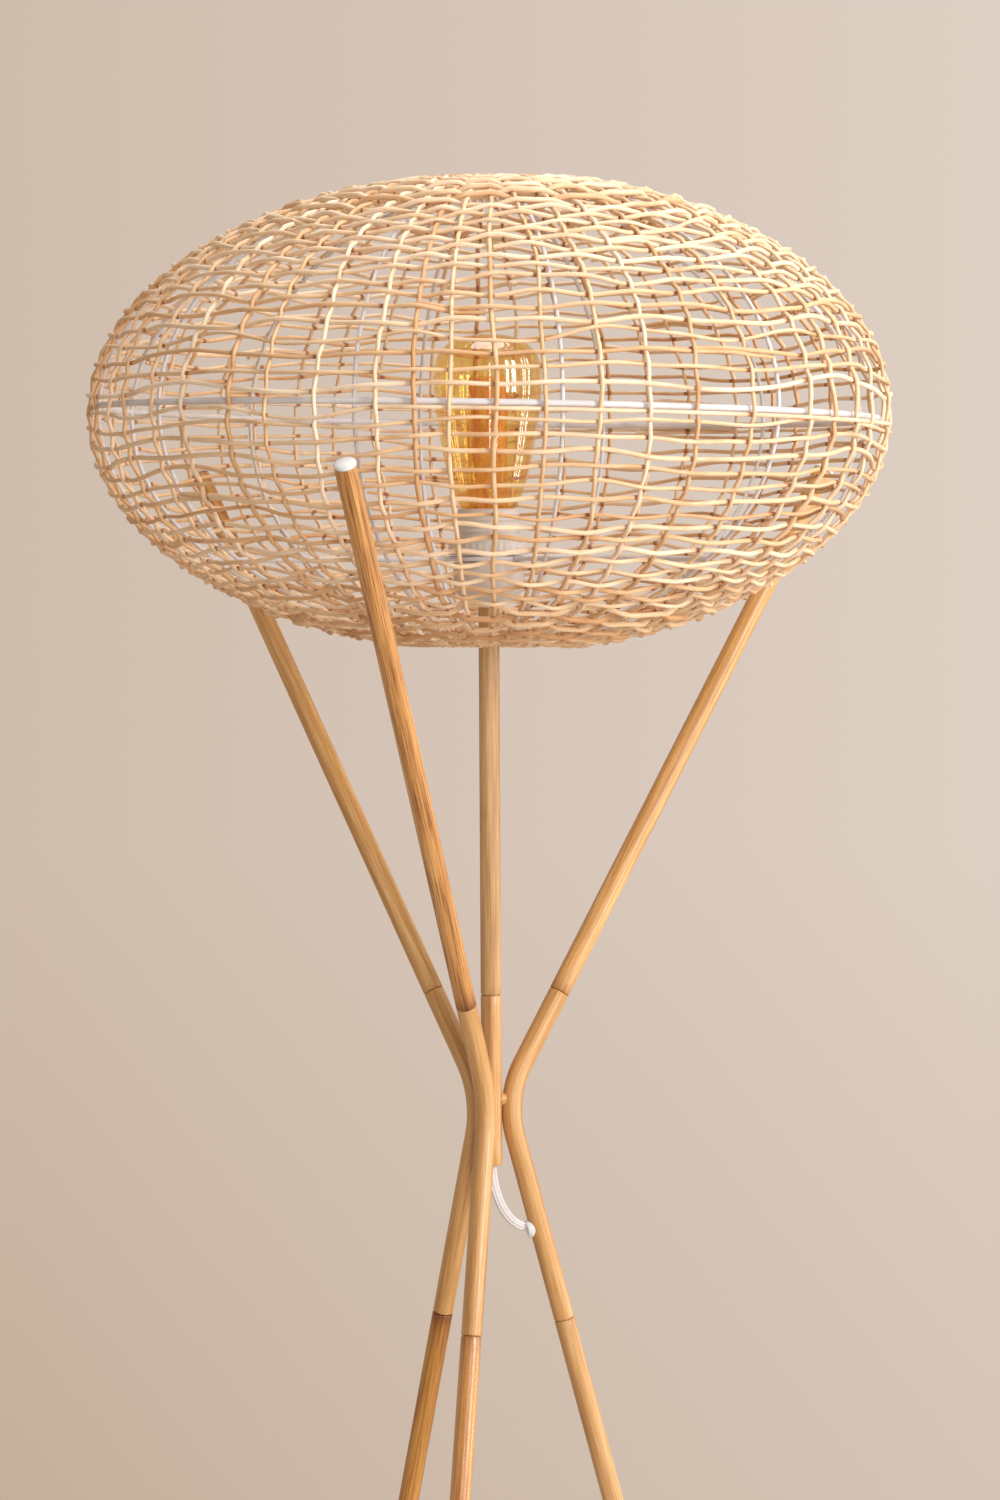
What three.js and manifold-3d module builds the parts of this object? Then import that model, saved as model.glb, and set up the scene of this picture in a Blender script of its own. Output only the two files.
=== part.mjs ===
// Rattan floor lamp: a woven shade on a centre post, held in a tripod of three bent wooden rods.
// Millimetres, +Z up. The origin is on the floor, under the middle of the shade.
import * as THREE from "three";
import { mergeVertices } from "three/addons/utils/BufferGeometryUtils.js";
import Module from "manifold-3d";

const wasm = await Module();
wasm.setup();

// Whole lamp
const overallHeight = 1500;
const shadeDiameter = 500;
const shadeHeight = 283;
const armTipBelowShadeCentre = 36;

// Clearances
const fitGap = 0.3;
const cutOverrun = 2;
const weldDistance = 0.0005;

// Rods: three legs at even angles, each bent at the waist into an arm
const rodRadius = 6.5;
const rodEdgeBevel = 0.5;
const firstLegAzimuth = -43.3;
const legNames = ["back", "right", "front"];
const armTurns = [-5.3, -18.2, 1.6];
const legTilt = 14.9;
const waistCornerRadius = 8.8;
const bendRadius = 58;
const armSeamFromCorner = 76;
const legSeamFromCorner = 147;
const armTipHeight = 394;
const armTipOutsideShade = 6.7;
const rodSides = 12;
const bendSides = 12;
const bendSteps = 7;
const socketSides = 10;
const holderSides = 20;

// Studs and nipples that join rod ends
const studRadius = 3;
const studDepth = 16;
const studBevel = 0.6;
const nippleRadius = 5;
const nippleBoreRadius = 3.9;
const nippleDepth = 14;

// Caps and feet
const capRadius = 6.9;
const capDomeHeight = 5.4;
const capRimHeight = 1.6;
const capStemRadius = 2.6;
const capStemLength = 9;
const footWall = 2;
const footSleeveLength = 24;
const footPadHeight = 8;

// Centre post
const postBottomBelowWaist = 42;
const postSeamAboveWaist = 66;
const spacerRadius = 4.4;
const dowelRadius = 1.6;
const dowelDepthInPost = 2;
const dowelDepthInBend = 6;

// Flat twin flex
const flexWidth = 6;
const flexThickness = 3.6;
const flexPortBelowCorner = 85;
const flexExitHeight = 52;
const portSlant = 35;
const flexBendRadius = 9;
const portNeckRadius = 4;
const portBoreRadius = 3.3;
const portLineOffset = 6;
const grommetFlangeRadius = 5.8;
const grommetFlangeHeight = 2;
const reliefRootRadius = 5.2;
const reliefTipRadius = 4.3;
const reliefLength = 28;
const flexDropInPost = 18;
const flexStraightAtPort = 6;
const flexSweepAtPort = 14;

// Lampholder, measured from the shade's centre downwards
const holderRimDrop = 59;
const holderShoulderDrop = 92;
const holderBaseDrop = 118;
const cupRadius = 22;
const cupWall = 2.2;
const cupBaseThickness = 3;
const cupNeckRadius = 14;
const insertRadius = 17.6;
const insertThickness = 5;
const insertDrop = 104.5;
const screwShellRadius = 14.6;
const screwShellWall = 0.7;
const screwShellLength = 26;
const centreContactRadius = 4.5;
const centreContactThickness = 2;
const holderNippleTopDrop = 114;
const retainerRadius = 25;
const retainerHeight = 8;

// Bulb with a standard screw cap
const capShellRadius = 13.2;
const capShellWall = 0.6;
const capShellTopDrop = 76;
const capShellLength = 19.5;
const bulbContactRadius = 4.2;
const bulbContactThickness = 1.5;
const insulatorHeight = 3;
const bulbTopRise = 50;
const bulbRadius = 33.5;
const glassWall = 1.2;
const glassNeckRadius = 12.2;
const glassNeckDrop = 86;
const glassShares = [
  [0.44, 0.09],
  [0.65, 0.22],
  [0.88, 0.475],
  [1, 0.745],
  [0.93, 0.89],
  [0.62, 0.97],
];
const fluteCount = 20;
const fluteDepthShare = 0.025;
const stemRadius = 3.4;
const stemFlareRadius = 10.4;
const stemTopDrop = 30;
const filamentRadius = 1.1;
const filamentSpread = 10;
const filamentTopRise = 18;
const filamentCount = 4;

// Shade: woven shell on a wire frame
const weaveThickness = 4.5;
const rimRadius = 55;
const stakeCount = 24;
const weaveRows = 11;
const stakeWidth = 8;
const rowWidth = 8;
const ribCount = 12;
const ribRadius = 1.3;
const ribInsetShare = 0.44;
const ringWireRadius = 2;
const rimWireRadius = 1.9;
const rimWireInset = 0.6;
const firstRibAzimuth = 19;
const spiderWireRadius = 1.7;
const wireSides = 4;
const spiderRibs = [0, 4, 8];

// Lead on the floor, in the right leg's frame: X away from the lamp's middle, Y to its back
const leadRest = 2.1;
const leadToSwitch = [
  [207.4, 0, 14.4],
  [200.0, 0, 8.2],
  [191.5, 0, 4.6],
  [181.5, 0.6, leadRest + 1],
  [170.5, 2.0, leadRest + 2.4],
  [160.5, 4.2, leadRest + 5.2],
];
const leadToCoil = [
  [79.0, 6.3, leadRest + 5.2],
  [69.0, 7.7, leadRest + 2],
  [58.5, 11.5, leadRest],
  [49.5, 18.5, leadRest],
  [43.0, 28.5, leadRest],
  [39.0, 41.0, leadRest],
  [36.8, 55.0, leadRest],
  [35.8, 70.0, leadRest + 0.3],
  [35.6, 85.0, leadRest + 0.8],
];
const leadToPlug = [
  [-32.0, 145.8, 6.2],
  [-42.0, 145.2, 5.0],
  [-53.0, 145.0, 5.4],
];
const switchCentre = [119.5, 5.2];
const plugCentre = [-84, 145];
const coilCentre = [-10, 102];
const coilMiddleRadius = 36;
const coilTurns = 5.25;
const coilTurnPitch = 6.9;
const coilLayerPitch = 4.5;
const coilRest = 2.9;
const coilStepsPerTurn = 20;
const tieWidth = 8;
const tieThickness = 0.5;
const tieGap = 0.4;
const tieAzimuth = 215;

// Switch on the lead
const switchLength = 62;
const switchWidth = 28;
const switchHeight = 19;
const switchWall = 2;
const switchEndRadius = 11;
const switchSplitHeight = 9;
const switchPortRadius = 3.6;
const rockerLength = 20;
const rockerWidth = 11;
const rockerRise = 2.6;
const rockerThickness = 5;
const rockerTilt = 8;
const rockerClearance = 0.7;
const rockerPinRadius = 1.2;

// Plug
const plugLength = 36;
const plugWidth = 26;
const plugThickness = 13.6;
const plugEndRadius = 6;
const pinRadius = 2;
const pinLength = 19;
const pinSpacing = 18.6;
const pinSeat = 6;

// Derived places
const shadeCentreZ = overallHeight - shadeHeight / 2;
const waistZ = shadeCentreZ - armTipBelowShadeCentre - armTipHeight;
const shadeRadius = shadeDiameter / 2;
const armTipRadius = shadeRadius + armTipOutsideShade;
const armTilt = Math.atan2(armTipRadius - waistCornerRadius, armTipHeight);
const holderBaseZ = shadeCentreZ - holderBaseDrop;
const postBottomZ = waistZ - postBottomBelowWaist;
const postSeamZ = waistZ + postSeamAboveWaist;
const postTopZ = holderBaseZ - fitGap;
const studSocketRadius = studRadius + fitGap;
const studSocketDepth = studDepth + fitGap;
const nippleSocketRadius = nippleRadius + fitGap;
const nippleSocketDepth = nippleDepth + fitGap;

const up = new THREE.Vector3(0, 0, 1);
const radians = THREE.MathUtils.degToRad;

// Materials
function material(color, roughness, metalness = 0, opacity = 1) {
  return new THREE.MeshStandardMaterial({ color, roughness, metalness, opacity, transparent: opacity < 1 });
}
const honeyWood = material(0xc98f4c, 0.45);
const paleWood = material(0xe3bd82, 0.4);
const rattan = material(0xe8c491, 0.6);
const whiteWire = material(0xe9e7e4, 0.4);
const whitePlastic = material(0xf0edea, 0.35);
const whiteFlex = material(0xf2efec, 0.45);
const whiteRubber = material(0xe4e1dc, 0.8);
const steel = material(0xb8babd, 0.3, 1);
const brass = material(0xc8a24c, 0.3, 1);
const nickel = material(0xcfcfca, 0.25, 1);
const ceramic = material(0xefede6, 0.3);
const darkGlass = material(0x23201d, 0.2);
const amberGlass = material(0xd98c1f, 0.05, 0, 0.45);
const clearGlass = material(0xe8e0c8, 0.05, 0, 0.5);
const filamentYellow = material(0xf2b632, 0.5);

function named(name, geometry, look) {
  const mesh = new THREE.Mesh(geometry, look);
  mesh.name = name;
  return mesh;
}

function along(mesh, start, direction) {
  mesh.position.copy(start);
  mesh.quaternion.setFromUnitVectors(up, direction);
  return mesh;
}

// A profile of radius and height, from the bottom round the outside to the top, turned about Z
function turned(profile, sides = rodSides) {
  const outline = profile.map(([radius, height]) => new THREE.Vector2(radius, height));
  return new THREE.LatheGeometry(outline, sides).rotateX(Math.PI / 2);
}

function cylinderAlong(start, direction, radius, length, sides = rodSides) {
  const geometry = new THREE.CylinderGeometry(radius, radius, length, sides).rotateX(Math.PI / 2);
  geometry.translate(0, 0, length / 2);
  geometry.applyQuaternion(new THREE.Quaternion().setFromUnitVectors(up, direction));
  return geometry.translate(start.x, start.y, start.z);
}

// Booleans
function solidOf(geometry) {
  const bare = geometry.index ? geometry.toNonIndexed() : geometry.clone();
  bare.deleteAttribute("normal");
  bare.deleteAttribute("uv");
  const merged = mergeVertices(bare, weldDistance);
  const triVerts = new Uint32Array(merged.index.array);
  return new wasm.Manifold(
    new wasm.Mesh({ numProp: 3, vertProperties: merged.attributes.position.array, triVerts }),
  );
}

function geometryOf(solid) {
  const mesh = solid.getMesh();
  const geometry = new THREE.BufferGeometry();
  geometry.setAttribute("position", new THREE.BufferAttribute(mesh.vertProperties, 3));
  geometry.setIndex(new THREE.BufferAttribute(mesh.triVerts, 1));
  geometry.computeVertexNormals();
  return geometry;
}

function cut(geometry, ...tools) {
  const rest = tools.reduce((solid, tool) => solid.subtract(solidOf(tool)), solidOf(geometry));
  return geometryOf(rest);
}

function join(...geometries) {
  const [first, ...others] = geometries.map(solidOf);
  return geometryOf(others.reduce((solid, other) => solid.add(other), first));
}

// A path that keeps its own points as the steps of a tube
class PointPath extends THREE.Curve {
  constructor(points) {
    super();
    this.points = points;
  }
  getPoint(share, target = new THREE.Vector3()) {
    const place = share * (this.points.length - 1);
    const index = Math.min(Math.floor(place), this.points.length - 2);
    return target.lerpVectors(this.points[index], this.points[index + 1], place - index);
  }
  getPointAt(share, target) {
    return this.getPoint(share, target);
  }
  getTangentAt(share, target = new THREE.Vector3()) {
    const index = Math.round(share * (this.points.length - 1));
    const before = this.points[Math.max(index - 1, 0)];
    const after = this.points[Math.min(index + 1, this.points.length - 1)];
    return target.subVectors(after, before).normalize();
  }
}

function ovalCorners(width, thickness, sides) {
  return Array.from({ length: sides }, (_, index) => {
    const angle = ((index + 0.5) / sides) * 2 * Math.PI;
    return new THREE.Vector2((width / 2) * Math.cos(angle), (thickness / 2) * Math.sin(angle));
  });
}

// A tube through the points, its wide side turned to the given direction at the start
function tubeThrough(points, width, thickness, sides, wideDirection = null) {
  const path = new PointPath(points);
  const steps = points.length - 1;
  const { normals, binormals } = path.computeFrenetFrames(steps, false);
  const wide = wideDirection ?? normals[0];
  const turn = Math.atan2(wide.dot(binormals[0]), wide.dot(normals[0]));
  const middle = new THREE.Vector2();
  const corners = ovalCorners(width, thickness, sides).map((corner) => corner.rotateAround(middle, turn));
  const options = { steps, extrudePath: path, bevelEnabled: false };
  return new THREE.ExtrudeGeometry(new THREE.Shape(corners), options);
}

function rodThrough(points, radius, sides) {
  return tubeThrough(points, 2 * radius, 2 * radius, sides);
}

// Rod geometry in a leg's own frame: X away from the post, Z up
const waistCorner = new THREE.Vector3(waistCornerRadius, 0, waistZ);
const legDirection = new THREE.Vector3(Math.sin(radians(legTilt)), 0, -Math.cos(radians(legTilt)));
const inward = new THREE.Vector3(-Math.cos(radians(legTilt)), 0, -Math.sin(radians(legTilt)));

function armDirection(turn) {
  const side = radians(-turn);
  const reach = Math.sin(armTilt);
  return new THREE.Vector3(reach * Math.cos(side), reach * Math.sin(side), Math.cos(armTilt));
}

function onRay(direction, distance, start = waistCorner) {
  return start.clone().addScaledVector(direction, distance);
}

const armLength = armTipHeight / Math.cos(armTilt) - armSeamFromCorner;
const legAxisLength = waistZ / Math.cos(radians(legTilt));
const legLength = legAxisLength - legSeamFromCorner - footPadHeight;

function rodProfile(length, lowSocket, highSocket) {
  return [
    [0, lowSocket.depth],
    [lowSocket.radius, lowSocket.depth],
    [lowSocket.radius, 0],
    [rodRadius - rodEdgeBevel, 0],
    [rodRadius, rodEdgeBevel],
    [rodRadius, length - rodEdgeBevel],
    [rodRadius - rodEdgeBevel, length],
    [highSocket.radius, length],
    [highSocket.radius, length - highSocket.depth],
    [0, length - highSocket.depth],
  ];
}

const studSocket = { radius: studSocketRadius, depth: studSocketDepth };
const capSocket = { radius: capStemRadius + fitGap, depth: capStemLength + fitGap };

function upperArm(place, direction) {
  const arm = named("upper_arm_" + place, turned(rodProfile(armLength, studSocket, capSocket)), honeyWood);
  return along(arm, onRay(direction, armSeamFromCorner + fitGap), direction);
}

function armCap(place, direction) {
  const domeSteps = 3;
  const dome = Array.from({ length: domeSteps }, (_, index) => {
    const angle = (index / domeSteps) * (Math.PI / 2);
    return [capRadius * Math.cos(angle), capRimHeight + (capDomeHeight - capRimHeight) * Math.sin(angle)];
  });
  const profile = [[0, -capStemLength], [capStemRadius, -capStemLength], [capStemRadius, 0], [capRadius, 0]];
  const cap = named("arm_cap_" + place, turned([...profile, ...dome, [0, capDomeHeight]], 12), whitePlastic);
  return along(cap, onRay(direction, armSeamFromCorner + armLength + 2 * fitGap), direction);
}

// The bent piece follows the arm's line, an arc and the leg's line
function bendArc(direction) {
  const turnAngle = Math.PI - direction.angleTo(legDirection);
  const reach = bendRadius * Math.tan(turnAngle / 2);
  const middle = direction.clone().add(legDirection).normalize();
  const centre = onRay(middle, bendRadius / Math.cos(turnAngle / 2));
  const start = onRay(direction, reach).sub(centre);
  const axis = new THREE.Vector3().crossVectors(start, onRay(legDirection, reach).sub(centre)).normalize();
  return (share) => start.clone().applyAxisAngle(axis, share * turnAngle).add(centre);
}

function bendPoints(direction) {
  const arc = bendArc(direction);
  const arcPoints = Array.from({ length: bendSteps + 1 }, (_, index) => arc(index / bendSteps));
  return [onRay(direction, armSeamFromCorner), ...arcPoints, onRay(legDirection, legSeamFromCorner)];
}

function waistBend(place, direction, legTools) {
  const rod = rodThrough(bendPoints(direction), rodRadius, bendSides);
  const armSocket = cylinderAlong(
    onRay(direction, armSeamFromCorner - studSocketDepth),
    direction,
    studSocketRadius,
    studSocketDepth + cutOverrun,
    socketSides,
  );
  const dowelHole = dowelAlong(direction, rodRadius, dowelDepthInBend + fitGap, fitGap);
  return named("waist_bend_" + place, cut(rod, armSocket, dowelHole, ...legTools), paleWood);
}

function stud(name, radius, start, direction, depth) {
  const length = 2 * depth;
  const profile = [
    [0, 0],
    [radius - studBevel, 0],
    [radius, studBevel],
    [radius, length - studBevel],
    [radius - studBevel, length],
    [0, length],
  ];
  return along(named(name, turned(profile, 8), steel), onRay(direction, -depth, start), direction);
}

function nipple(name, start, direction, depthBefore, depthAfter) {
  const profile = [
    [nippleBoreRadius, -depthBefore],
    [nippleRadius, -depthBefore],
    [nippleRadius, depthAfter],
    [nippleBoreRadius, depthAfter],
    [nippleBoreRadius, -depthBefore],
  ];
  return along(named(name, turned(profile), steel), start, direction);
}

// Spacer and dowel between the post and a bend, along the line from the post's axis to the arc's middle
function waistLine(direction) {
  const middle = bendArc(direction)(0.5);
  const root = new THREE.Vector3(0, 0, middle.z);
  return { root, reach: middle.distanceTo(root), line: middle.clone().sub(root).normalize() };
}

function dowelAlong(direction, postSide, bendSide, gap) {
  const { root, reach, line } = waistLine(direction);
  const start = rodRadius - postSide;
  const end = reach - rodRadius + bendSide;
  return cylinderAlong(onRay(line, start, root), line, dowelRadius + gap, end - start, 8);
}

function waistSpacer(place, direction) {
  const { root, reach, line } = waistLine(direction);
  const block = cylinderAlong(root, line, spacerRadius, reach, socketSides);
  const postSpace = cylinderAlong(onRay(up, -spacerRadius - cutOverrun, root), up, rodRadius + fitGap,
    2 * (spacerRadius + cutOverrun));
  const bendSpace = rodThrough(bendPoints(direction), rodRadius + fitGap, bendSides);
  const saddle = solidOf(block).subtract(solidOf(postSpace)).subtract(solidOf(bendSpace));
  const dowel = solidOf(dowelAlong(direction, dowelDepthInPost, dowelDepthInBend, 0));
  return named("waist_spacer_" + place, geometryOf(saddle.add(dowel)), paleWood);
}

function plainLeg(place) {
  const noSocket = { radius: capStemRadius, depth: 0 };
  const leg = turned(rodProfile(legLength, studSocket, noSocket));
  return along(named("lower_leg_" + place, leg, honeyWood), legTop(), legDirection);
}

function legTop() {
  return onRay(legDirection, legSeamFromCorner + fitGap);
}

function foot(place) {
  const rodSpace = rodRadius + fitGap;
  const outside = rodSpace + footWall;
  const end = onRay(legDirection, legAxisLength - footPadHeight + 2 * fitGap);
  const profile = [
    [0, -cutOverrun * footWall],
    [outside, -cutOverrun * footWall],
    [outside, footPadHeight + footSleeveLength],
    [rodSpace, footPadHeight + footSleeveLength],
    [rodSpace, footPadHeight],
    [0, footPadHeight],
  ];
  const cup = turned(profile);
  const upward = legDirection.clone().negate();
  cup.applyQuaternion(new THREE.Quaternion().setFromUnitVectors(up, upward));
  const base = onRay(upward, -footPadHeight, end);
  cup.translate(base.x, base.y, base.z);
  const below = new THREE.BoxGeometry(outside * 8, outside * 8, footPadHeight * 4);
  below.translate(base.x, 0, -footPadHeight * 2);
  return named("foot_" + place, cut(cup, below), whiteRubber);
}

// Slanted ports where the flex enters and leaves the right leg
const slant = radians(portSlant);
const portTurn = Math.PI / 2 - slant;
const portBendReach = flexBendRadius * Math.sin(portTurn);
const portRun = (portLineOffset - flexBendRadius * (1 - Math.cos(portTurn))) * Math.tan(slant);
const portLead = portRun + portBendReach;
const entryAxisPoint = onRay(legDirection, flexPortBelowCorner);
const exitAxisPoint = onRay(legDirection, (waistZ - flexExitHeight) / Math.cos(radians(legTilt)));

function portRay(axisPoint, downSign) {
  const direction = inward.clone().multiplyScalar(Math.cos(slant));
  direction.addScaledVector(legDirection, downSign * Math.sin(slant));
  return { start: onRay(inward, portLineOffset, axisPoint), direction };
}
const entryRay = portRay(entryAxisPoint, -1);
const exitRay = portRay(exitAxisPoint, 1);

function portHole(ray) {
  const start = onRay(ray.direction, -portLineOffset, ray.start);
  return cylinderAlong(start, ray.direction, portNeckRadius + fitGap, portLineOffset * 3, socketSides);
}

function flexBore(start, direction, length) {
  return cylinderAlong(start, direction, nippleBoreRadius, length, socketSides);
}

function rightBendTools() {
  const socket = cylinderAlong(
    onRay(legDirection, legSeamFromCorner - nippleSocketDepth),
    legDirection,
    nippleSocketRadius,
    nippleSocketDepth + cutOverrun,
    socketSides,
  );
  const boreStart = flexPortBelowCorner - portNeckRadius;
  const boreLength = legSeamFromCorner - boreStart + cutOverrun;
  const bore = flexBore(onRay(legDirection, boreStart), legDirection, boreLength);
  return [socket, bore, portHole(entryRay)];
}

function legStudSocket() {
  return cylinderAlong(
    onRay(legDirection, legSeamFromCorner - studSocketDepth),
    legDirection,
    studSocketRadius,
    studSocketDepth + cutOverrun,
    socketSides,
  );
}

function rightLeg() {
  const start = legTop();
  const toExit = exitAxisPoint.distanceTo(start) + portNeckRadius;
  const profile = [
    [0, toExit],
    [nippleBoreRadius, toExit],
    [nippleBoreRadius, nippleSocketDepth],
    [nippleSocketRadius, nippleSocketDepth],
    [nippleSocketRadius, 0],
    [rodRadius - rodEdgeBevel, 0],
    [rodRadius, rodEdgeBevel],
    [rodRadius, legLength - rodEdgeBevel],
    [rodRadius - rodEdgeBevel, legLength],
    [0, legLength],
  ];
  const leg = turned(profile);
  leg.applyQuaternion(new THREE.Quaternion().setFromUnitVectors(up, legDirection));
  leg.translate(start.x, start.y, start.z);
  return named("lower_leg_right", cut(leg, portHole(exitRay)), honeyWood);
}

function legAxisSpace(axisPoint, radius) {
  const half = portLineOffset * 5;
  return cylinderAlong(onRay(legDirection, -half, axisPoint), legDirection, radius, 2 * half, rodSides);
}

function portNeck(ray, length) {
  const start = onRay(ray.direction, nippleBoreRadius - portLineOffset, ray.start);
  return cylinderAlong(start, ray.direction, portNeckRadius, length, socketSides);
}

function portBore(ray, length) {
  const start = onRay(ray.direction, -2 * portLineOffset, ray.start);
  return cylinderAlong(start, ray.direction, portBoreRadius, length + 4 * portLineOffset, socketSides);
}

function grommet() {
  const flangeStart = onRay(inward, rodRadius - grommetFlangeHeight * 2, entryAxisPoint);
  const flange = cylinderAlong(flangeStart, inward, grommetFlangeRadius, grommetFlangeHeight * 3, rodSides);
  const outside = solidOf(flange).subtract(solidOf(legAxisSpace(entryAxisPoint, rodRadius + fitGap)));
  const neck = solidOf(portNeck(entryRay, portLineOffset));
  const body = outside.add(neck).subtract(solidOf(portBore(entryRay, portLineOffset)));
  const clear = body.subtract(solidOf(legAxisSpace(entryAxisPoint, nippleBoreRadius)));
  return named("flex_grommet", geometryOf(clear), whitePlastic);
}

function strainRelief() {
  const profile = [
    [0, 0],
    [reliefRootRadius, 0],
    [reliefRootRadius, portLineOffset],
    [reliefTipRadius, reliefLength],
    [0, reliefLength],
  ];
  const sleeve = turned(profile);
  sleeve.applyQuaternion(new THREE.Quaternion().setFromUnitVectors(up, exitRay.direction));
  sleeve.translate(exitRay.start.x, exitRay.start.y, exitRay.start.z);
  const outside = solidOf(sleeve).subtract(solidOf(legAxisSpace(exitAxisPoint, rodRadius + fitGap)));
  const neck = solidOf(portNeck(exitRay, portLineOffset));
  const body = outside.add(neck).subtract(solidOf(portBore(exitRay, reliefLength)));
  const clear = body.subtract(solidOf(legAxisSpace(exitAxisPoint, nippleBoreRadius)));
  return named("strain_relief", geometryOf(clear), whitePlastic);
}

// The flex runs from the lampholder down the post, over to the grommet and down the right leg
function portArc(axisPoint, downSign) {
  const arcSteps = 5;
  return Array.from({ length: arcSteps + 1 }, (_, index) => {
    const angle = portTurn * (1 - index / arcSteps);
    const offset = flexBendRadius * (1 - Math.cos(angle));
    const distance = portLead - flexBendRadius * Math.sin(angle);
    return onRay(legDirection, downSign * distance, onRay(inward, offset, axisPoint));
  });
}

function flexPoints() {
  const sweepSteps = 8;
  const top = new THREE.Vector3(0, 0, shadeCentreZ - insertDrop - insertThickness - fitGap);
  const postEnd = new THREE.Vector3(0, 0, postBottomZ);
  const mouth = onRay(entryRay.direction, flexStraightAtPort, entryRay.start);
  const sweep = new THREE.CubicBezierCurve3(
    postEnd,
    onRay(up, -flexDropInPost, postEnd),
    onRay(entryRay.direction, flexSweepAtPort, mouth),
    mouth,
  );
  const entry = portArc(entryAxisPoint, 1);
  const exit = portArc(exitAxisPoint, -1).reverse();
  const end = onRay(exitRay.direction, reliefLength - fitGap, exitRay.start);
  return [top, onRay(up, flexDropInPost, postEnd), ...sweep.getPoints(sweepSteps), ...entry, ...exit, end];
}

function lampFlex() {
  const side = new THREE.Vector3(0, 1, 0);
  return named("lamp_flex", tubeThrough(flexPoints(), flexWidth, flexThickness, 8, side), whiteFlex);
}

// Post
const plainEnd = [[nippleBoreRadius, 0]];
const socketEnd = [
  [nippleBoreRadius, nippleSocketDepth],
  [nippleSocketRadius, nippleSocketDepth],
  [nippleSocketRadius, 0],
];

function postPiece(name, bottomZ, topZ, lowEnd, holes, look) {
  const length = topZ - bottomZ;
  const profile = [
    ...lowEnd,
    [rodRadius - rodEdgeBevel, 0],
    [rodRadius, rodEdgeBevel],
    [rodRadius, length - rodEdgeBevel],
    [rodRadius - rodEdgeBevel, length],
    [nippleSocketRadius, length],
    [nippleSocketRadius, length - nippleSocketDepth],
    [nippleBoreRadius, length - nippleSocketDepth],
    lowEnd[0],
  ];
  const tube = turned(profile).translate(0, 0, bottomZ);
  return named(name, holes.length ? cut(tube, ...holes) : tube, look);
}

function turnedToLeg(geometry, place) {
  return geometry.rotateZ(legAngle(place));
}

function legAngle(place) {
  const azimuth = firstLegAzimuth + legNames.indexOf(place) * 120;
  return radians(90 - azimuth);
}

function post() {
  const holes = legNames.map((place, index) => {
    const hole = dowelAlong(armDirection(armTurns[index]), dowelDepthInPost + fitGap, 0, fitGap);
    return turnedToLeg(hole, place);
  });
  const lower = postPiece("post_lower", postBottomZ, postSeamZ - fitGap, plainEnd, holes, paleWood);
  const upper = postPiece("post_upper", postSeamZ, postTopZ, socketEnd, [], honeyWood);
  const seam = new THREE.Vector3(0, 0, postSeamZ - fitGap / 2);
  const seamNipple = nipple("post_nipple", seam, up, nippleDepth - fitGap, nippleDepth - fitGap);
  return [lower, upper, seamNipple];
}

// Lampholder, built downwards from the shade's centre
function dropZ(drop) {
  return shadeCentreZ - drop;
}

function ring(name, innerRadius, outerRadius, bottomZ, topZ, look, sides = holderSides) {
  const profile = [
    [innerRadius, bottomZ],
    [outerRadius, bottomZ],
    [outerRadius, topZ],
    [innerRadius, topZ],
    [innerRadius, bottomZ],
  ];
  return named(name, turned(profile, sides), look);
}

function lampholder() {
  const baseZ = dropZ(holderBaseDrop);
  const shoulderZ = dropZ(holderShoulderDrop);
  const insertTopZ = dropZ(insertDrop);
  const cupProfile = [
    [nippleSocketRadius, baseZ],
    [cupNeckRadius, baseZ],
    [cupRadius, baseZ + cupRadius - cupNeckRadius],
    [cupRadius, shoulderZ],
    [cupRadius - cupWall, shoulderZ],
    [cupRadius - cupWall, baseZ + cupRadius - cupNeckRadius + fitGap],
    [cupNeckRadius, baseZ + cupBaseThickness],
    [nippleSocketRadius, baseZ + cupBaseThickness],
    [nippleSocketRadius, baseZ],
  ];
  const skirtBottomZ = insertTopZ - insertThickness + fitGap;
  const skirtOuterLow = cupRadius - cupWall - fitGap;
  const skirtProfile = [
    [insertRadius + fitGap, skirtBottomZ],
    [skirtOuterLow, skirtBottomZ],
    [skirtOuterLow, dropZ(holderRimDrop)],
    [insertRadius + fitGap, dropZ(holderRimDrop)],
    [insertRadius + fitGap, skirtBottomZ],
  ];
  const insertProfile = [
    [nippleBoreRadius, insertTopZ - insertThickness],
    [insertRadius, insertTopZ - insertThickness],
    [insertRadius, insertTopZ],
    [nippleBoreRadius / 2, insertTopZ],
    [nippleBoreRadius / 2, insertTopZ - insertThickness / 2],
    [nippleBoreRadius, insertTopZ - insertThickness / 2],
    [nippleBoreRadius, insertTopZ - insertThickness],
  ];
  const contactProfile = [
    [0, 0],
    [centreContactRadius, 0],
    [centreContactRadius, centreContactThickness],
    [0, centreContactThickness],
  ];
  const contact = turned(contactProfile).translate(0, 0, insertTopZ + fitGap);
  const nippleBottomZ = postTopZ - nippleDepth;
  const nippleTopZ = dropZ(holderNippleTopDrop);
  const spiderTopZ = shoulderZ + 2 * (spiderWireRadius + fitGap);
  const shellBottomZ = insertTopZ + fitGap;
  return {
    fixed: [
      named("holder_cup", turned(cupProfile, holderSides), whitePlastic),
      named("holder_skirt", turned(skirtProfile, holderSides), whitePlastic),
      named("holder_insert", turned(insertProfile, holderSides), ceramic),
      named("holder_contact", contact, brass),
      ring("holder_screw_shell", screwShellRadius - screwShellWall, screwShellRadius, shellBottomZ,
        shellBottomZ + screwShellLength, brass),
      ring("holder_nipple", nippleBoreRadius, nippleRadius, nippleBottomZ, nippleTopZ, steel, rodSides),
    ],
    retainer: ring("shade_retaining_ring", cupRadius - cupWall + fitGap, retainerRadius, spiderTopZ,
      spiderTopZ + retainerHeight, whitePlastic),
  };
}

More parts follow.
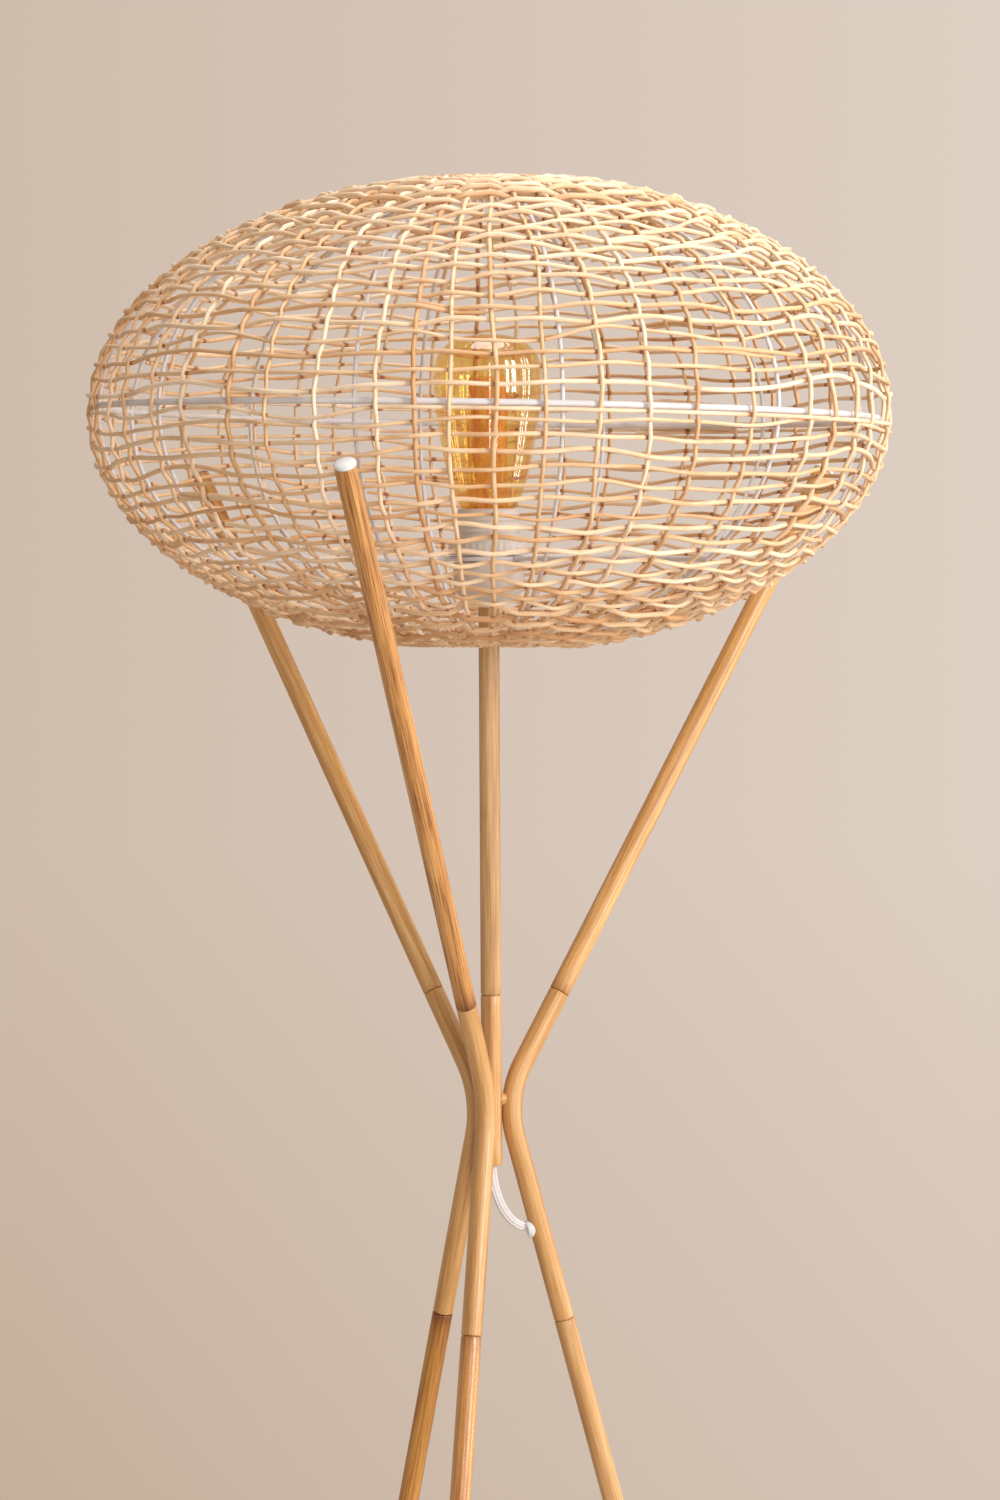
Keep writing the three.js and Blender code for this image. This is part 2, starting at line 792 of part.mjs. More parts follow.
// Bulb
const glassHeight = capShellTopDrop + bulbTopRise;
const bulbOutline = [
  [glassNeckRadius, -glassNeckDrop],
  [glassNeckRadius, -capShellTopDrop],
  ...glassShares.map(([wide, high]) => [wide * bulbRadius, high * glassHeight - capShellTopDrop]),
];

function fluted(geometry, lowZ) {
  const places = geometry.attributes.position;
  const point = new THREE.Vector3();
  for (let index = 0; index < places.count; index += 1) {
    point.fromBufferAttribute(places, index);
    if (point.z > lowZ) {
      const wave = Math.cos(fluteCount * Math.atan2(point.y, point.x));
      const swell = 1 + fluteDepthShare * wave;
      places.setXYZ(index, point.x * swell, point.y * swell, point.z);
    }
  }
  return geometry;
}

function bulbGlass() {
  const outside = [...bulbOutline, [0, bulbTopRise]];
  const inside = bulbOutline.map(([radius, rise]) => [radius - glassWall, rise]).reverse();
  inside[0] = [inside[0][0], inside[0][1] - glassWall];
  const profile = [...outside, [0, bulbTopRise - glassWall], ...inside, bulbOutline[0]];
  const shell = fluted(turned(profile, 2 * fluteCount), -capShellTopDrop + glassWall);
  return named("bulb_glass", shell.translate(0, 0, shadeCentreZ), amberGlass);
}

function bulb() {
  const capBottomZ = dropZ(capShellTopDrop + capShellLength);
  const capTopZ = dropZ(capShellTopDrop);
  const capInner = capShellRadius - capShellWall;
  const capProfile = [
    [0, capBottomZ],
    [capShellRadius - capShellWall, capBottomZ],
    [capShellRadius, capBottomZ + capShellWall],
    [capShellRadius, capTopZ],
    [capInner, capTopZ],
    [capInner, capBottomZ + capShellWall],
    [0, capBottomZ + capShellWall],
  ];
  const insulatorTopZ = capBottomZ - fitGap;
  const insulatorBottomZ = insulatorTopZ - insulatorHeight;
  const insulatorProfile = [
    [0, insulatorBottomZ],
    [bulbContactRadius + 2 * capShellWall, insulatorBottomZ],
    [capInner, insulatorTopZ],
    [0, insulatorTopZ],
  ];
  const contactTopZ = insulatorBottomZ - fitGap;
  const contactProfile = [
    [0, contactTopZ - bulbContactThickness],
    [bulbContactRadius - capShellWall, contactTopZ - bulbContactThickness],
    [bulbContactRadius, contactTopZ],
    [0, contactTopZ],
  ];
  const stemBottomZ = capBottomZ + capShellWall + fitGap;
  const stemProfile = [
    [0, stemBottomZ],
    [stemFlareRadius, stemBottomZ],
    [stemFlareRadius, stemBottomZ + 2 * capShellWall],
    [stemRadius, dropZ(capShellTopDrop)],
    [stemRadius, dropZ(stemTopDrop)],
    [0, dropZ(stemTopDrop)],
  ];
  return [
    bulbGlass(),
    named("bulb_cap", turned(capProfile, holderSides), nickel),
    named("bulb_insulator", turned(insulatorProfile, 16), darkGlass),
    named("bulb_contact", turned(contactProfile, 12), brass),
    named("bulb_stem", turned(stemProfile, 12), clearGlass),
    filament(),
  ];
}

// Four filament sticks on a hub that sits on the stem
function filament() {
  const hubZ = dropZ(stemTopDrop) + fitGap + filamentRadius;
  const hub = new THREE.TorusGeometry(filamentSpread / 2, filamentRadius, 5, 10).translate(0, 0, hubZ);
  const sticks = Array.from({ length: filamentCount }, (_, index) => {
    const angle = (index / filamentCount) * 2 * Math.PI;
    const low = new THREE.Vector3(Math.cos(angle), Math.sin(angle), 0).multiplyScalar(filamentSpread / 2);
    const high = low.clone().multiplyScalar(2);
    low.setZ(hubZ);
    high.setZ(shadeCentreZ + filamentTopRise);
    const direction = high.clone().sub(low);
    const length = direction.length();
    return cylinderAlong(low, direction.normalize(), filamentRadius, length, 4);
  });
  const bar = cylinderAlong(
    new THREE.Vector3(-filamentSpread / 2, 0, hubZ),
    new THREE.Vector3(1, 0, 0),
    filamentRadius,
    filamentSpread,
    5,
  );
  return named("bulb_filament", join(hub, bar, ...sticks), filamentYellow);
}

// Shade: points on its outline by share of the way from the lower rim to the upper one
const rimAngle = Math.acos(rimRadius / shadeRadius);
const halfHeight = shadeHeight / 2 / Math.sin(rimAngle);
const outline = new THREE.EllipseCurve(0, 0, shadeRadius, halfHeight, -rimAngle, rimAngle, false, 0);
outline.arcLengthDivisions = 400;
const outlineLength = outline.getLength();

function shadePoint(share, depth) {
  const point = outline.getPointAt(share);
  const tangent = outline.getTangentAt(share);
  return { radius: point.x - depth * tangent.y, rise: point.y + depth * tangent.x };
}

const rowShare = rowWidth / outlineLength;

function rowMiddle(row) {
  return rowShare / 2 + (row * (1 - rowShare)) / (weaveRows - 1);
}

function weaveLines() {
  const rows = Array.from({ length: weaveRows }, (_, row) => rowMiddle(row));
  return rows.flatMap((middle) => [Math.max(middle - rowShare / 2, 0), Math.min(middle + rowShare / 2, 1)]);
}

function weaveRing(share, depth) {
  const { radius, rise } = shadePoint(share, depth);
  const half = stakeWidth / 2 / radius;
  return Array.from({ length: 2 * stakeCount }, (_, column) => {
    const centre = radians(90 - firstRibAzimuth) + (Math.floor(column / 2) / stakeCount) * 2 * Math.PI;
    const angle = centre + (column % 2 ? half : -half);
    return [radius * Math.cos(angle), radius * Math.sin(angle), shadeCentreZ + rise];
  });
}

// An open lattice of stakes and rows: each cell of the grid is a band, or a hole with walls round it
function wovenShade() {
  const lines = weaveLines();
  const columns = 2 * stakeCount;
  const vertices = [0, weaveThickness].flatMap((depth) => lines.flatMap((share) => weaveRing(share, depth)));
  const innerStart = lines.length * columns;
  const at = (line, column) => line * columns + ((column + columns) % columns);
  const filled = (line, column) =>
    line >= 0 && line < lines.length - 1 && (line % 2 === 0 || (column + columns) % 2 === 0);
  const triangles = [];
  const quad = (a, b, c, d) => triangles.push(a, b, c, a, c, d);
  for (let line = 0; line < lines.length - 1; line += 1) {
    for (let column = 0; column < columns; column += 1) {
      if (!filled(line, column)) {
        continue;
      }
      const low = [at(line, column), at(line, column + 1)];
      const corners = [...low, at(line + 1, column + 1), at(line + 1, column)];
      const inner = corners.map((corner) => corner + innerStart);
      quad(...corners);
      quad(...inner.slice().reverse());
      const beside = [[line - 1, column], [line, column + 1], [line + 1, column], [line, column - 1]];
      beside.forEach(([nextLine, nextColumn], edge) => {
        if (!filled(nextLine, nextColumn)) {
          const next = (edge + 1) % 4;
          quad(corners[next], corners[edge], inner[edge], inner[next]);
        }
      });
    }
  }
  const geometry = new THREE.BufferGeometry();
  geometry.setAttribute("position", new THREE.Float32BufferAttribute(vertices.flat(), 3));
  geometry.setIndex(triangles);
  geometry.computeVertexNormals();
  return named("woven_shade", geometry, rattan);
}

// The rows are straight between stakes, so they stand inwards of the true round by this much
const rowSag = (shadeRadius - weaveThickness) * (1 - Math.cos(Math.PI / stakeCount));
const ribDepth = weaveThickness + fitGap + ribRadius + ribInsetShare * rowSag;

function ribAngle(index) {
  return radians(90 - firstRibAzimuth) + (index / ribCount) * 2 * Math.PI;
}

function ribPoints(index) {
  const angle = ribAngle(index);
  return Array.from({ length: weaveRows }, (_, row) => {
    const { radius, rise } = shadePoint(rowMiddle(row), ribDepth);
    return new THREE.Vector3(radius * Math.cos(angle), radius * Math.sin(angle), shadeCentreZ + rise);
  });
}

function rimRing(share) {
  const { radius, rise } = shadePoint(share, weaveThickness + fitGap + rimWireRadius + rimWireInset);
  const rim = new THREE.TorusGeometry(radius, rimWireRadius, wireSides, stakeCount);
  return rim.translate(0, 0, shadeCentreZ + rise);
}

function shadeFrame() {
  const equatorRadius = shadeRadius - weaveThickness - rowSag - fitGap - ringWireRadius;
  const equator = new THREE.TorusGeometry(equatorRadius, ringWireRadius, wireSides, 2 * stakeCount);
  equator.rotateZ(ribAngle(0)).translate(0, 0, shadeCentreZ);
  const ribs = Array.from({ length: ribCount }, (_, index) =>
    rodThrough(ribPoints(index), ribRadius, wireSides));
  const wires = join(equator, rimRing(rowShare / 2), rimRing(1 - rowShare / 2), ...ribs);
  return named("shade_frame", wires, whiteWire);
}

// Three arms from the ring round the lampholder out to ribs of the frame
function ribAtHeight(height) {
  const points = ribPoints(0);
  const index = points.findIndex((point) => point.z > height);
  const [low, high] = [points[index - 1], points[index]];
  const lowRadius = Math.hypot(low.x, low.y);
  const slope = (Math.hypot(high.x, high.y) - lowRadius) / (high.z - low.z);
  return { slope, radius: lowRadius + slope * (height - low.z) };
}

function shadeSpider() {
  const ringZ = dropZ(holderShoulderDrop) + fitGap + spiderWireRadius;
  const ringRadius = cupRadius - cupWall + fitGap + spiderWireRadius;
  const ringWire = new THREE.TorusGeometry(ringRadius, spiderWireRadius, 6, holderSides);
  const { slope, radius } = ribAtHeight(ringZ);
  const ribClearance = (ribRadius + fitGap) * Math.hypot(1, slope);
  const armLengthOut = radius - Math.abs(slope) * spiderWireRadius - ribClearance - ringRadius;
  const arms = spiderRibs.map((rib) => {
    const angle = ribAngle(rib);
    const outward = new THREE.Vector3(Math.cos(angle), Math.sin(angle), 0);
    const start = outward.clone().multiplyScalar(ringRadius).setZ(ringZ);
    return cylinderAlong(start, outward, spiderWireRadius, armLengthOut, 6);
  });
  return named("shade_spider", join(ringWire.translate(0, 0, ringZ), ...arms), whiteWire);
}

// Lead on the floor
function pointsOf(list) {
  return list.map(([x, y, z]) => new THREE.Vector3(x, y, z));
}

function smoothed(points, steps) {
  return new THREE.CatmullRomCurve3(points, false, "centripetal").getPoints(steps);
}

function coilPoint(angle) {
  const total = coilTurns * 2 * Math.PI;
  const lowEnd = (total - Math.PI) / 2;
  const turnsPerLayer = lowEnd / (2 * Math.PI);
  const outerRadius = coilMiddleRadius + (coilTurnPitch * turnsPerLayer) / 2;
  const innerRadius = outerRadius - coilTurnPitch * turnsPerLayer;
  const climb = THREE.MathUtils.clamp((angle - lowEnd) / Math.PI, 0, 1);
  const inTurns = Math.min(angle, total - angle) / (2 * Math.PI);
  const climbing = climb > 0 && climb < 1;
  const dip = (coilTurnPitch / 2) * Math.sin(climb * Math.PI);
  const radius = climbing ? innerRadius - dip : outerRadius - coilTurnPitch * inTurns;
  const rise = coilRest + coilLayerPitch * THREE.MathUtils.smoothstep(climb, 0, 1);
  return new THREE.Vector3(
    coilCentre[0] + radius * Math.cos(angle),
    coilCentre[1] + radius * Math.sin(angle),
    rise,
  );
}

function coilPoints() {
  const steps = Math.round(coilTurns * coilStepsPerTurn);
  const stepAngle = (coilTurns * 2 * Math.PI) / steps;
  return Array.from({ length: steps + 1 }, (_, index) => coilPoint(index * stepAngle));
}

// The least clear space between stretches of the coil more than half a turn apart
function leastCoilGap(points) {
  let least = Infinity;
  const apart = coilStepsPerTurn / 2;
  points.forEach((point, index) => {
    points.slice(index + apart).forEach((other) => {
      const level = Math.hypot(point.x - other.x, point.y - other.y) - flexWidth;
      const rise = Math.abs(point.z - other.z) - flexThickness;
      least = Math.min(least, Math.max(level, rise));
    });
  });
  return least;
}

function straightEnds(points) {
  const first = points[0].clone().sub(points[1]).setZ(0).normalize();
  const last = points.at(-1).clone().sub(points.at(-2)).setZ(0).normalize();
  return [onRay(first, flexWidth, points[0]), ...points, onRay(last, flexWidth, points.at(-1))];
}

function floorLead() {
  const wide = new THREE.Vector3(0, 1, 0);
  const exit = onRay(exitRay.direction, reliefLength + fitGap, exitRay.start);
  const halfSwitch = switchLength / 2 + fitGap;
  const portZ = switchSplitHeight;
  const switchIn = new THREE.Vector3(switchCentre[0] + halfSwitch, switchCentre[1], portZ);
  const switchOut = new THREE.Vector3(switchCentre[0] - halfSwitch, switchCentre[1], portZ);
  const coil = straightEnds(coilPoints());
  const beforeCoil = coil[0].clone().sub(coil[1]).normalize();
  const afterCoil = coil.at(-1).clone().sub(coil.at(-2)).normalize();
  const coilIn = [onRay(beforeCoil, fitGap + flexWidth, coil[0]), onRay(beforeCoil, fitGap, coil[0])];
  const coilOut = [onRay(afterCoil, fitGap, coil.at(-1)), onRay(afterCoil, fitGap + flexWidth, coil.at(-1))];
  const plugIn = new THREE.Vector3(plugCentre[0] + plugLength / 2 + fitGap, plugCentre[1], plugThickness / 2);
  const afterExit = onRay(exitRay.direction, flexWidth, exit);
  const first = smoothed([exit, afterExit, ...pointsOf(leadToSwitch), switchIn], 16);
  const second = smoothed([switchOut, ...pointsOf(leadToCoil), ...coilIn], 18);
  const third = smoothed([...coilOut, ...pointsOf(leadToPlug), plugIn], 11);
  const flex = (name, points, sides) =>
    named(name, tubeThrough(points, flexWidth, flexThickness, sides, wide), whiteFlex);
  console.log("least coil gap " + leastCoilGap(coil).toFixed(2) + " mm");
  const coilSide = new THREE.Vector3(1, 0, 0);
  return [
    flex("lead_to_switch", first, 8),
    flex("lead_to_coil", second, 8),
    named("lead_coil", tubeThrough(coil, flexWidth, flexThickness, 6, coilSide), whiteFlex),
    flex("lead_to_plug", third, 8),
    coilTie(coil),
  ];
}

function frameShape(width, height, thickness) {
  const shape = new THREE.Shape();
  shape.moveTo(-width / 2, 0).lineTo(width / 2, 0).lineTo(width / 2, height).lineTo(-width / 2, height);
  const hole = new THREE.Path();
  const inner = width / 2 - thickness;
  hole.moveTo(-inner, thickness).lineTo(-inner, height - thickness);
  hole.lineTo(inner, height - thickness).lineTo(inner, thickness);
  shape.holes.push(hole);
  return shape;
}

function coilTie(coil) {
  const distances = coil.map((point) => Math.hypot(point.x - coilCentre[0], point.y - coilCentre[1]));
  const inner = Math.min(...distances) - flexWidth / 2 - tieGap;
  const outer = Math.max(...distances) + flexWidth / 2 + tieGap;
  const width = outer - inner + 2 * tieThickness;
  const bottom = coilRest - flexThickness / 2 - tieGap - tieThickness;
  const height = coilLayerPitch + flexThickness + 2 * (tieGap + tieThickness);
  const band = new THREE.ExtrudeGeometry(frameShape(width, height, tieThickness),
    { depth: tieWidth, bevelEnabled: false });
  band.translate(0, 0, -tieWidth / 2).rotateX(Math.PI / 2).translate((inner + outer) / 2, 0, bottom);
  const tie = named("coil_tie", band, whiteFlex);
  tie.position.set(coilCentre[0], coilCentre[1], 0);
  tie.rotation.z = radians(tieAzimuth);
  return tie;
}

// Switch housing: two shells split at the height of the flex, a rocker on a pin through the cover
function stadium(length, width, cornerRadius) {
  const x = length / 2;
  const y = width / 2;
  const shape = new THREE.Shape();
  shape.moveTo(-x + cornerRadius, -y).lineTo(x - cornerRadius, -y);
  shape.quadraticCurveTo(x, -y, x, -y + cornerRadius).lineTo(x, y - cornerRadius);
  shape.quadraticCurveTo(x, y, x - cornerRadius, y).lineTo(-x + cornerRadius, y);
  shape.quadraticCurveTo(-x, y, -x, y - cornerRadius).lineTo(-x, -y + cornerRadius);
  shape.quadraticCurveTo(-x, -y, -x + cornerRadius, -y);
  return shape;
}

function slab(length, width, cornerRadius, bottomZ, height) {
  const shape = stadium(length, width, cornerRadius);
  const geometry = new THREE.ExtrudeGeometry(shape, { depth: height, bevelEnabled: false, curveSegments: 3 });
  return geometry.translate(0, 0, bottomZ);
}

function flexPort(height, length) {
  const start = new THREE.Vector3(-length / 2 - cutOverrun, 0, height);
  return cylinderAlong(start, new THREE.Vector3(1, 0, 0), switchPortRadius, length + 2 * cutOverrun, 12);
}

function switchParts() {
  const inLength = switchLength - 2 * switchWall;
  const inWidth = switchWidth - 2 * switchWall;
  const inRadius = switchEndRadius - switchWall;
  const port = flexPort(switchSplitHeight, switchLength);
  const baseTop = switchSplitHeight - fitGap / 2;
  const coverBottom = switchSplitHeight + fitGap / 2;
  const base = cut(
    slab(switchLength, switchWidth, switchEndRadius, fitGap, baseTop - fitGap),
    slab(inLength, inWidth, inRadius, fitGap + switchWall, switchHeight),
    port,
  );
  const window = new THREE.BoxGeometry(rockerLength + 2 * rockerClearance, rockerWidth + 2 * rockerClearance,
    switchHeight);
  const pinZ = switchHeight - rockerThickness / 2;
  const pinReach = rockerWidth / 2 + rockerClearance + switchWall;
  const across = new THREE.Vector3(0, 1, 0);
  const pinStart = new THREE.Vector3(0, -pinReach, pinZ);
  const cheek = new THREE.BoxGeometry(rockerLength / 2, 2 * pinReach, rockerThickness + switchWall);
  cheek.translate(0, 0, switchHeight - (rockerThickness + switchWall) / 2);
  const coverHeight = switchHeight - coverBottom;
  const shell = solidOf(slab(switchLength, switchWidth, switchEndRadius, coverBottom, coverHeight))
    .subtract(solidOf(slab(inLength, inWidth, inRadius, 0, switchHeight - switchWall)))
    .add(solidOf(cheek))
    .subtract(solidOf(window.translate(0, 0, switchHeight)))
    .subtract(solidOf(port))
    .subtract(solidOf(cylinderAlong(pinStart, across, rockerPinRadius + fitGap / 2, 2 * pinReach, 10)));
  return {
    base: named("switch_base", base, whitePlastic),
    cover: named("switch_cover", geometryOf(shell), whitePlastic),
    pin: named("switch_pin", cylinderAlong(onRay(across, fitGap, pinStart), across, rockerPinRadius,
      2 * (pinReach - fitGap), 10), steel),
    rocker: rocker(pinZ),
  };
}

// A rocker with two sloping faces, tilted to its off side
function rocker(pinZ) {
  const half = rockerLength / 2;
  const side = new THREE.Shape();
  side.moveTo(-half, rockerRise).lineTo(-half + rockerRise, -rockerThickness / 2);
  side.lineTo(half - rockerRise, -rockerThickness / 2).lineTo(half, rockerRise);
  const shoulder = half - rockerClearance;
  side.lineTo(shoulder, rockerThickness).lineTo(0, rockerRise + fitGap).lineTo(-shoulder, rockerThickness);
  const body = new THREE.ExtrudeGeometry(side, { depth: rockerWidth, bevelEnabled: false });
  body.translate(0, 0, -rockerWidth / 2).rotateX(Math.PI / 2);
  const across = new THREE.Vector3(0, 1, 0);
  const hole = cylinderAlong(new THREE.Vector3(0, -rockerWidth, 0), across, rockerPinRadius + fitGap / 2,
    2 * rockerWidth, 10);
  const mesh = named("switch_rocker", cut(body, hole), whitePlastic);
  mesh.position.z = pinZ;
  mesh.rotation.y = radians(-rockerTilt);
  return mesh;
}

function inlineSwitch() {
  const parts = switchParts();
  const group = new THREE.Group();
  group.add(parts.base, parts.cover, parts.pin, parts.rocker);
  group.position.set(switchCentre[0], switchCentre[1], 0);
  return group;
}

// Two-pin plug lying on the floor
function plug() {
  const body = slab(plugLength, plugWidth, plugEndRadius, fitGap, plugThickness);
  const middleZ = fitGap + plugThickness / 2;
  const pinDirection = new THREE.Vector3(-1, 0, 0);
  const seatX = -plugLength / 2 + pinSeat;
  const seats = [-1, 1].map((side) => new THREE.Vector3(seatX, (side * pinSpacing) / 2, middleZ));
  const sockets = seats.map((seat) =>
    cylinderAlong(seat, pinDirection, pinRadius + fitGap, pinSeat + cutOverrun, 12));
  const group = new THREE.Group();
  group.add(named("plug_body", cut(body, ...sockets), whitePlastic));
  seats.forEach((seat, index) => {
    const root = onRay(pinDirection, fitGap, seat);
    const pin = cylinderAlong(root, pinDirection, pinRadius, pinSeat + pinLength, 12);
    group.add(named("plug_pin_" + (index + 1), pin, nickel));
  });
  group.position.set(plugCentre[0], plugCentre[1], 0);
  return group;
}

// Assembly
function legGroup(place, index) {
  const group = new THREE.Group();
  const direction = armDirection(armTurns[index]);
  const right = place === "right";
  const legTools = right ? rightBendTools() : [legStudSocket()];
  const armSeam = onRay(direction, armSeamFromCorner + fitGap / 2);
  const legSeam = onRay(legDirection, legSeamFromCorner + fitGap / 2);
  group.add(
    upperArm(place, direction),
    armCap(place, direction),
    waistBend(place, direction, legTools),
    stud("arm_stud_" + place, studRadius, armSeam, direction, studDepth - fitGap),
    waistSpacer(place, direction),
    right ? rightLeg() : plainLeg(place),
    right
      ? nipple("leg_nipple_right", legSeam, legDirection, nippleDepth - fitGap, nippleDepth - fitGap)
      : stud("leg_stud_" + place, studRadius, legSeam, legDirection, studDepth - fitGap),
    foot(place),
  );
  if (right) {
    group.add(grommet(), strainRelief(), lampFlex(), ...floorLead(), inlineSwitch(), plug());
  }
  group.rotation.z = legAngle(place);
  return group;
}

const lamp = new THREE.Group();
legNames.forEach((place, index) => lamp.add(legGroup(place, index)));
const holder = lampholder();
lamp.add(...post(), ...holder.fixed, holder.retainer, ...bulb());
lamp.add(wovenShade(), shadeFrame(), shadeSpider());

export default lamp;
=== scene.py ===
"""Looks of a rattan floor lamp: woven shade, bent wooden rods, white wire and flex, amber bulb.

Everything is in metres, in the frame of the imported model: +Z up, the floor at zero.
"""

import math

import bpy
import numpy as np
from mathutils import Matrix, Vector


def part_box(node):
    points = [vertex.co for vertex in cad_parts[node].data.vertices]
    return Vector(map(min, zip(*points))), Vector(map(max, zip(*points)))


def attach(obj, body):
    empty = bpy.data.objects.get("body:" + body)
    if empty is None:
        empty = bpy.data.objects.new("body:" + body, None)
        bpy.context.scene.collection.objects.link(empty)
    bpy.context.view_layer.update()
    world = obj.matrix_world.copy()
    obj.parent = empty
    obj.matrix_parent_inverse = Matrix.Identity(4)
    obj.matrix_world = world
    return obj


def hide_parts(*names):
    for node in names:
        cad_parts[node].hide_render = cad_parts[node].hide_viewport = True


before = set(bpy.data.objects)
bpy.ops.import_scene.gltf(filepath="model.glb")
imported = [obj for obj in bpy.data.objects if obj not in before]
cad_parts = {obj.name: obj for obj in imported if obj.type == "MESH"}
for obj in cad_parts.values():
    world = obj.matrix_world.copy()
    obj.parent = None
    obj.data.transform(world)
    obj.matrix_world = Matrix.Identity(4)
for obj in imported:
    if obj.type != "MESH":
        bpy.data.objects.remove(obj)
scene = bpy.context.scene
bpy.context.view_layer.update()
MM = 0.001
TURN = 2 * math.pi
ORIGIN = np.zeros(3)
UP = np.array([0.0, 0.0, 1.0])
SEED = 11
FIT_GAP = 0.3 * MM


# Places read from the frame
def unit(vector):
    return vector / np.linalg.norm(vector)


def in_mm(profile, foot=0.0):
    """Points of (radius, height) in millimetres above a foot, as metres."""
    return [(radius * MM, foot + height * MM) for radius, height in profile]


def add(name, data):
    """A new object in the scene."""
    made = bpy.data.objects.new(name, data)
    scene.collection.objects.link(made)
    return made


def heights_of(node):
    """The lowest and the highest point of a node."""
    low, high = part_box(node)
    return low[2], high[2]


def axis_of(node):
    """The two end centres of a straight round rod, lower end first."""
    points = np.array([v.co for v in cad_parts[node].data.vertices], float)
    middle = points.mean(0)
    direction = np.linalg.svd(points - middle, full_matrices=False)[2][0]
    if direction[2] < 0:
        direction = -direction
    heights = (points - middle) @ direction
    end_band = 0.4 * MM
    low = points[heights < heights.min() + end_band].mean(0)
    high = points[heights > heights.max() - end_band].mean(0)
    return low, high


shade_low, shade_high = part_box("woven_shade")
SHADE_Z = (shade_low[2] + shade_high[2]) / 2
SHADE_RADIUS = (shade_high[0] - shade_low[0]) / 2
SWELL = 3 * MM
SHADE_HALF_HEIGHT = (shade_high[2] - shade_low[2]) / 2 + SWELL
PLACES = ("back", "right", "front")
arms = {place: axis_of("upper_arm_" + place) for place in PLACES}
legs = {place: axis_of("lower_leg_" + place) for place in PLACES}
post_low = heights_of("post_lower")[0]
post_seam, post_high = heights_of("post_upper")
ROD_RADIUS = 6.5 * MM

# Camera of the photograph, with its yaw, pitch and roll and the turn that makes it level
FOCAL_PX, IMAGE_LONG_PX, SENSOR_MM = 4001, 1500, 36
CLIP_START, CLIP_END = 0.05, 100
CAMERA_DISTANCE, CAMERA_BELOW_SHADE = 2505 * MM, 70.4 * MM
CAMERA_TURNS = [("Z", -0.0026), ("X", -0.0557), ("Y", 0.0056), ("X", math.pi / 2)]


def make_camera():
    data = bpy.data.cameras.new("camera")
    data.sensor_width = SENSOR_MM
    data.lens = FOCAL_PX / IMAGE_LONG_PX * SENSOR_MM
    data.clip_start, data.clip_end = CLIP_START, CLIP_END
    turn = Matrix()
    for axis, angle in CAMERA_TURNS:
        turn @= Matrix.Rotation(angle, 4, axis)
    scene.camera = add("camera", data)
    place = Matrix.Translation((0, -CAMERA_DISTANCE, SHADE_Z - CAMERA_BELOW_SHADE))
    scene.camera.matrix_world = place @ turn


make_camera()

# Surfaces are swept grids, gathered into one mesh for each piece
MIDDLE_TONE = 0.5
GRAIN_SHIFT = np.array([3.1, 1.7, 5.3])
NEARLY_UPRIGHT = 0.9
LATHE_SIDES = 48
CREASE = 40


def round_angles(steps):
    return np.arange(steps) / steps * TURN


def circle(sides):
    angles = round_angles(sides)
    return np.stack([np.cos(angles), np.sin(angles)], 1)


def polar(radius, azimuth, height):
    """Points by their distance from the axis, their azimuth and their height."""
    places = np.broadcast_arrays(radius * np.cos(azimuth), radius * np.sin(azimuth), height)
    return np.stack(places, -1)


def steps_of(points):
    return np.linalg.norm(np.diff(points, axis=0), axis=1)


def unit_rows(vectors):
    return vectors / np.linalg.norm(vectors, axis=1)[:, None]


def tangents_of(points):
    return unit_rows(np.gradient(points, axis=0))


def carried(points, first_side):
    """A side direction carried along the points without twist."""
    side = first_side
    sides = []
    for tangent in tangents_of(points):
        side = unit(side - (side @ tangent) * tangent)
        sides.append(side)
    return np.array(sides)


def any_side(direction):
    """A direction square to the given one."""
    direction = unit(direction)
    trial = UP if abs(direction[2]) < NEARLY_UPRIGHT else np.array([1.0, 0.0, 0.0])
    return unit(np.cross(direction, trial))


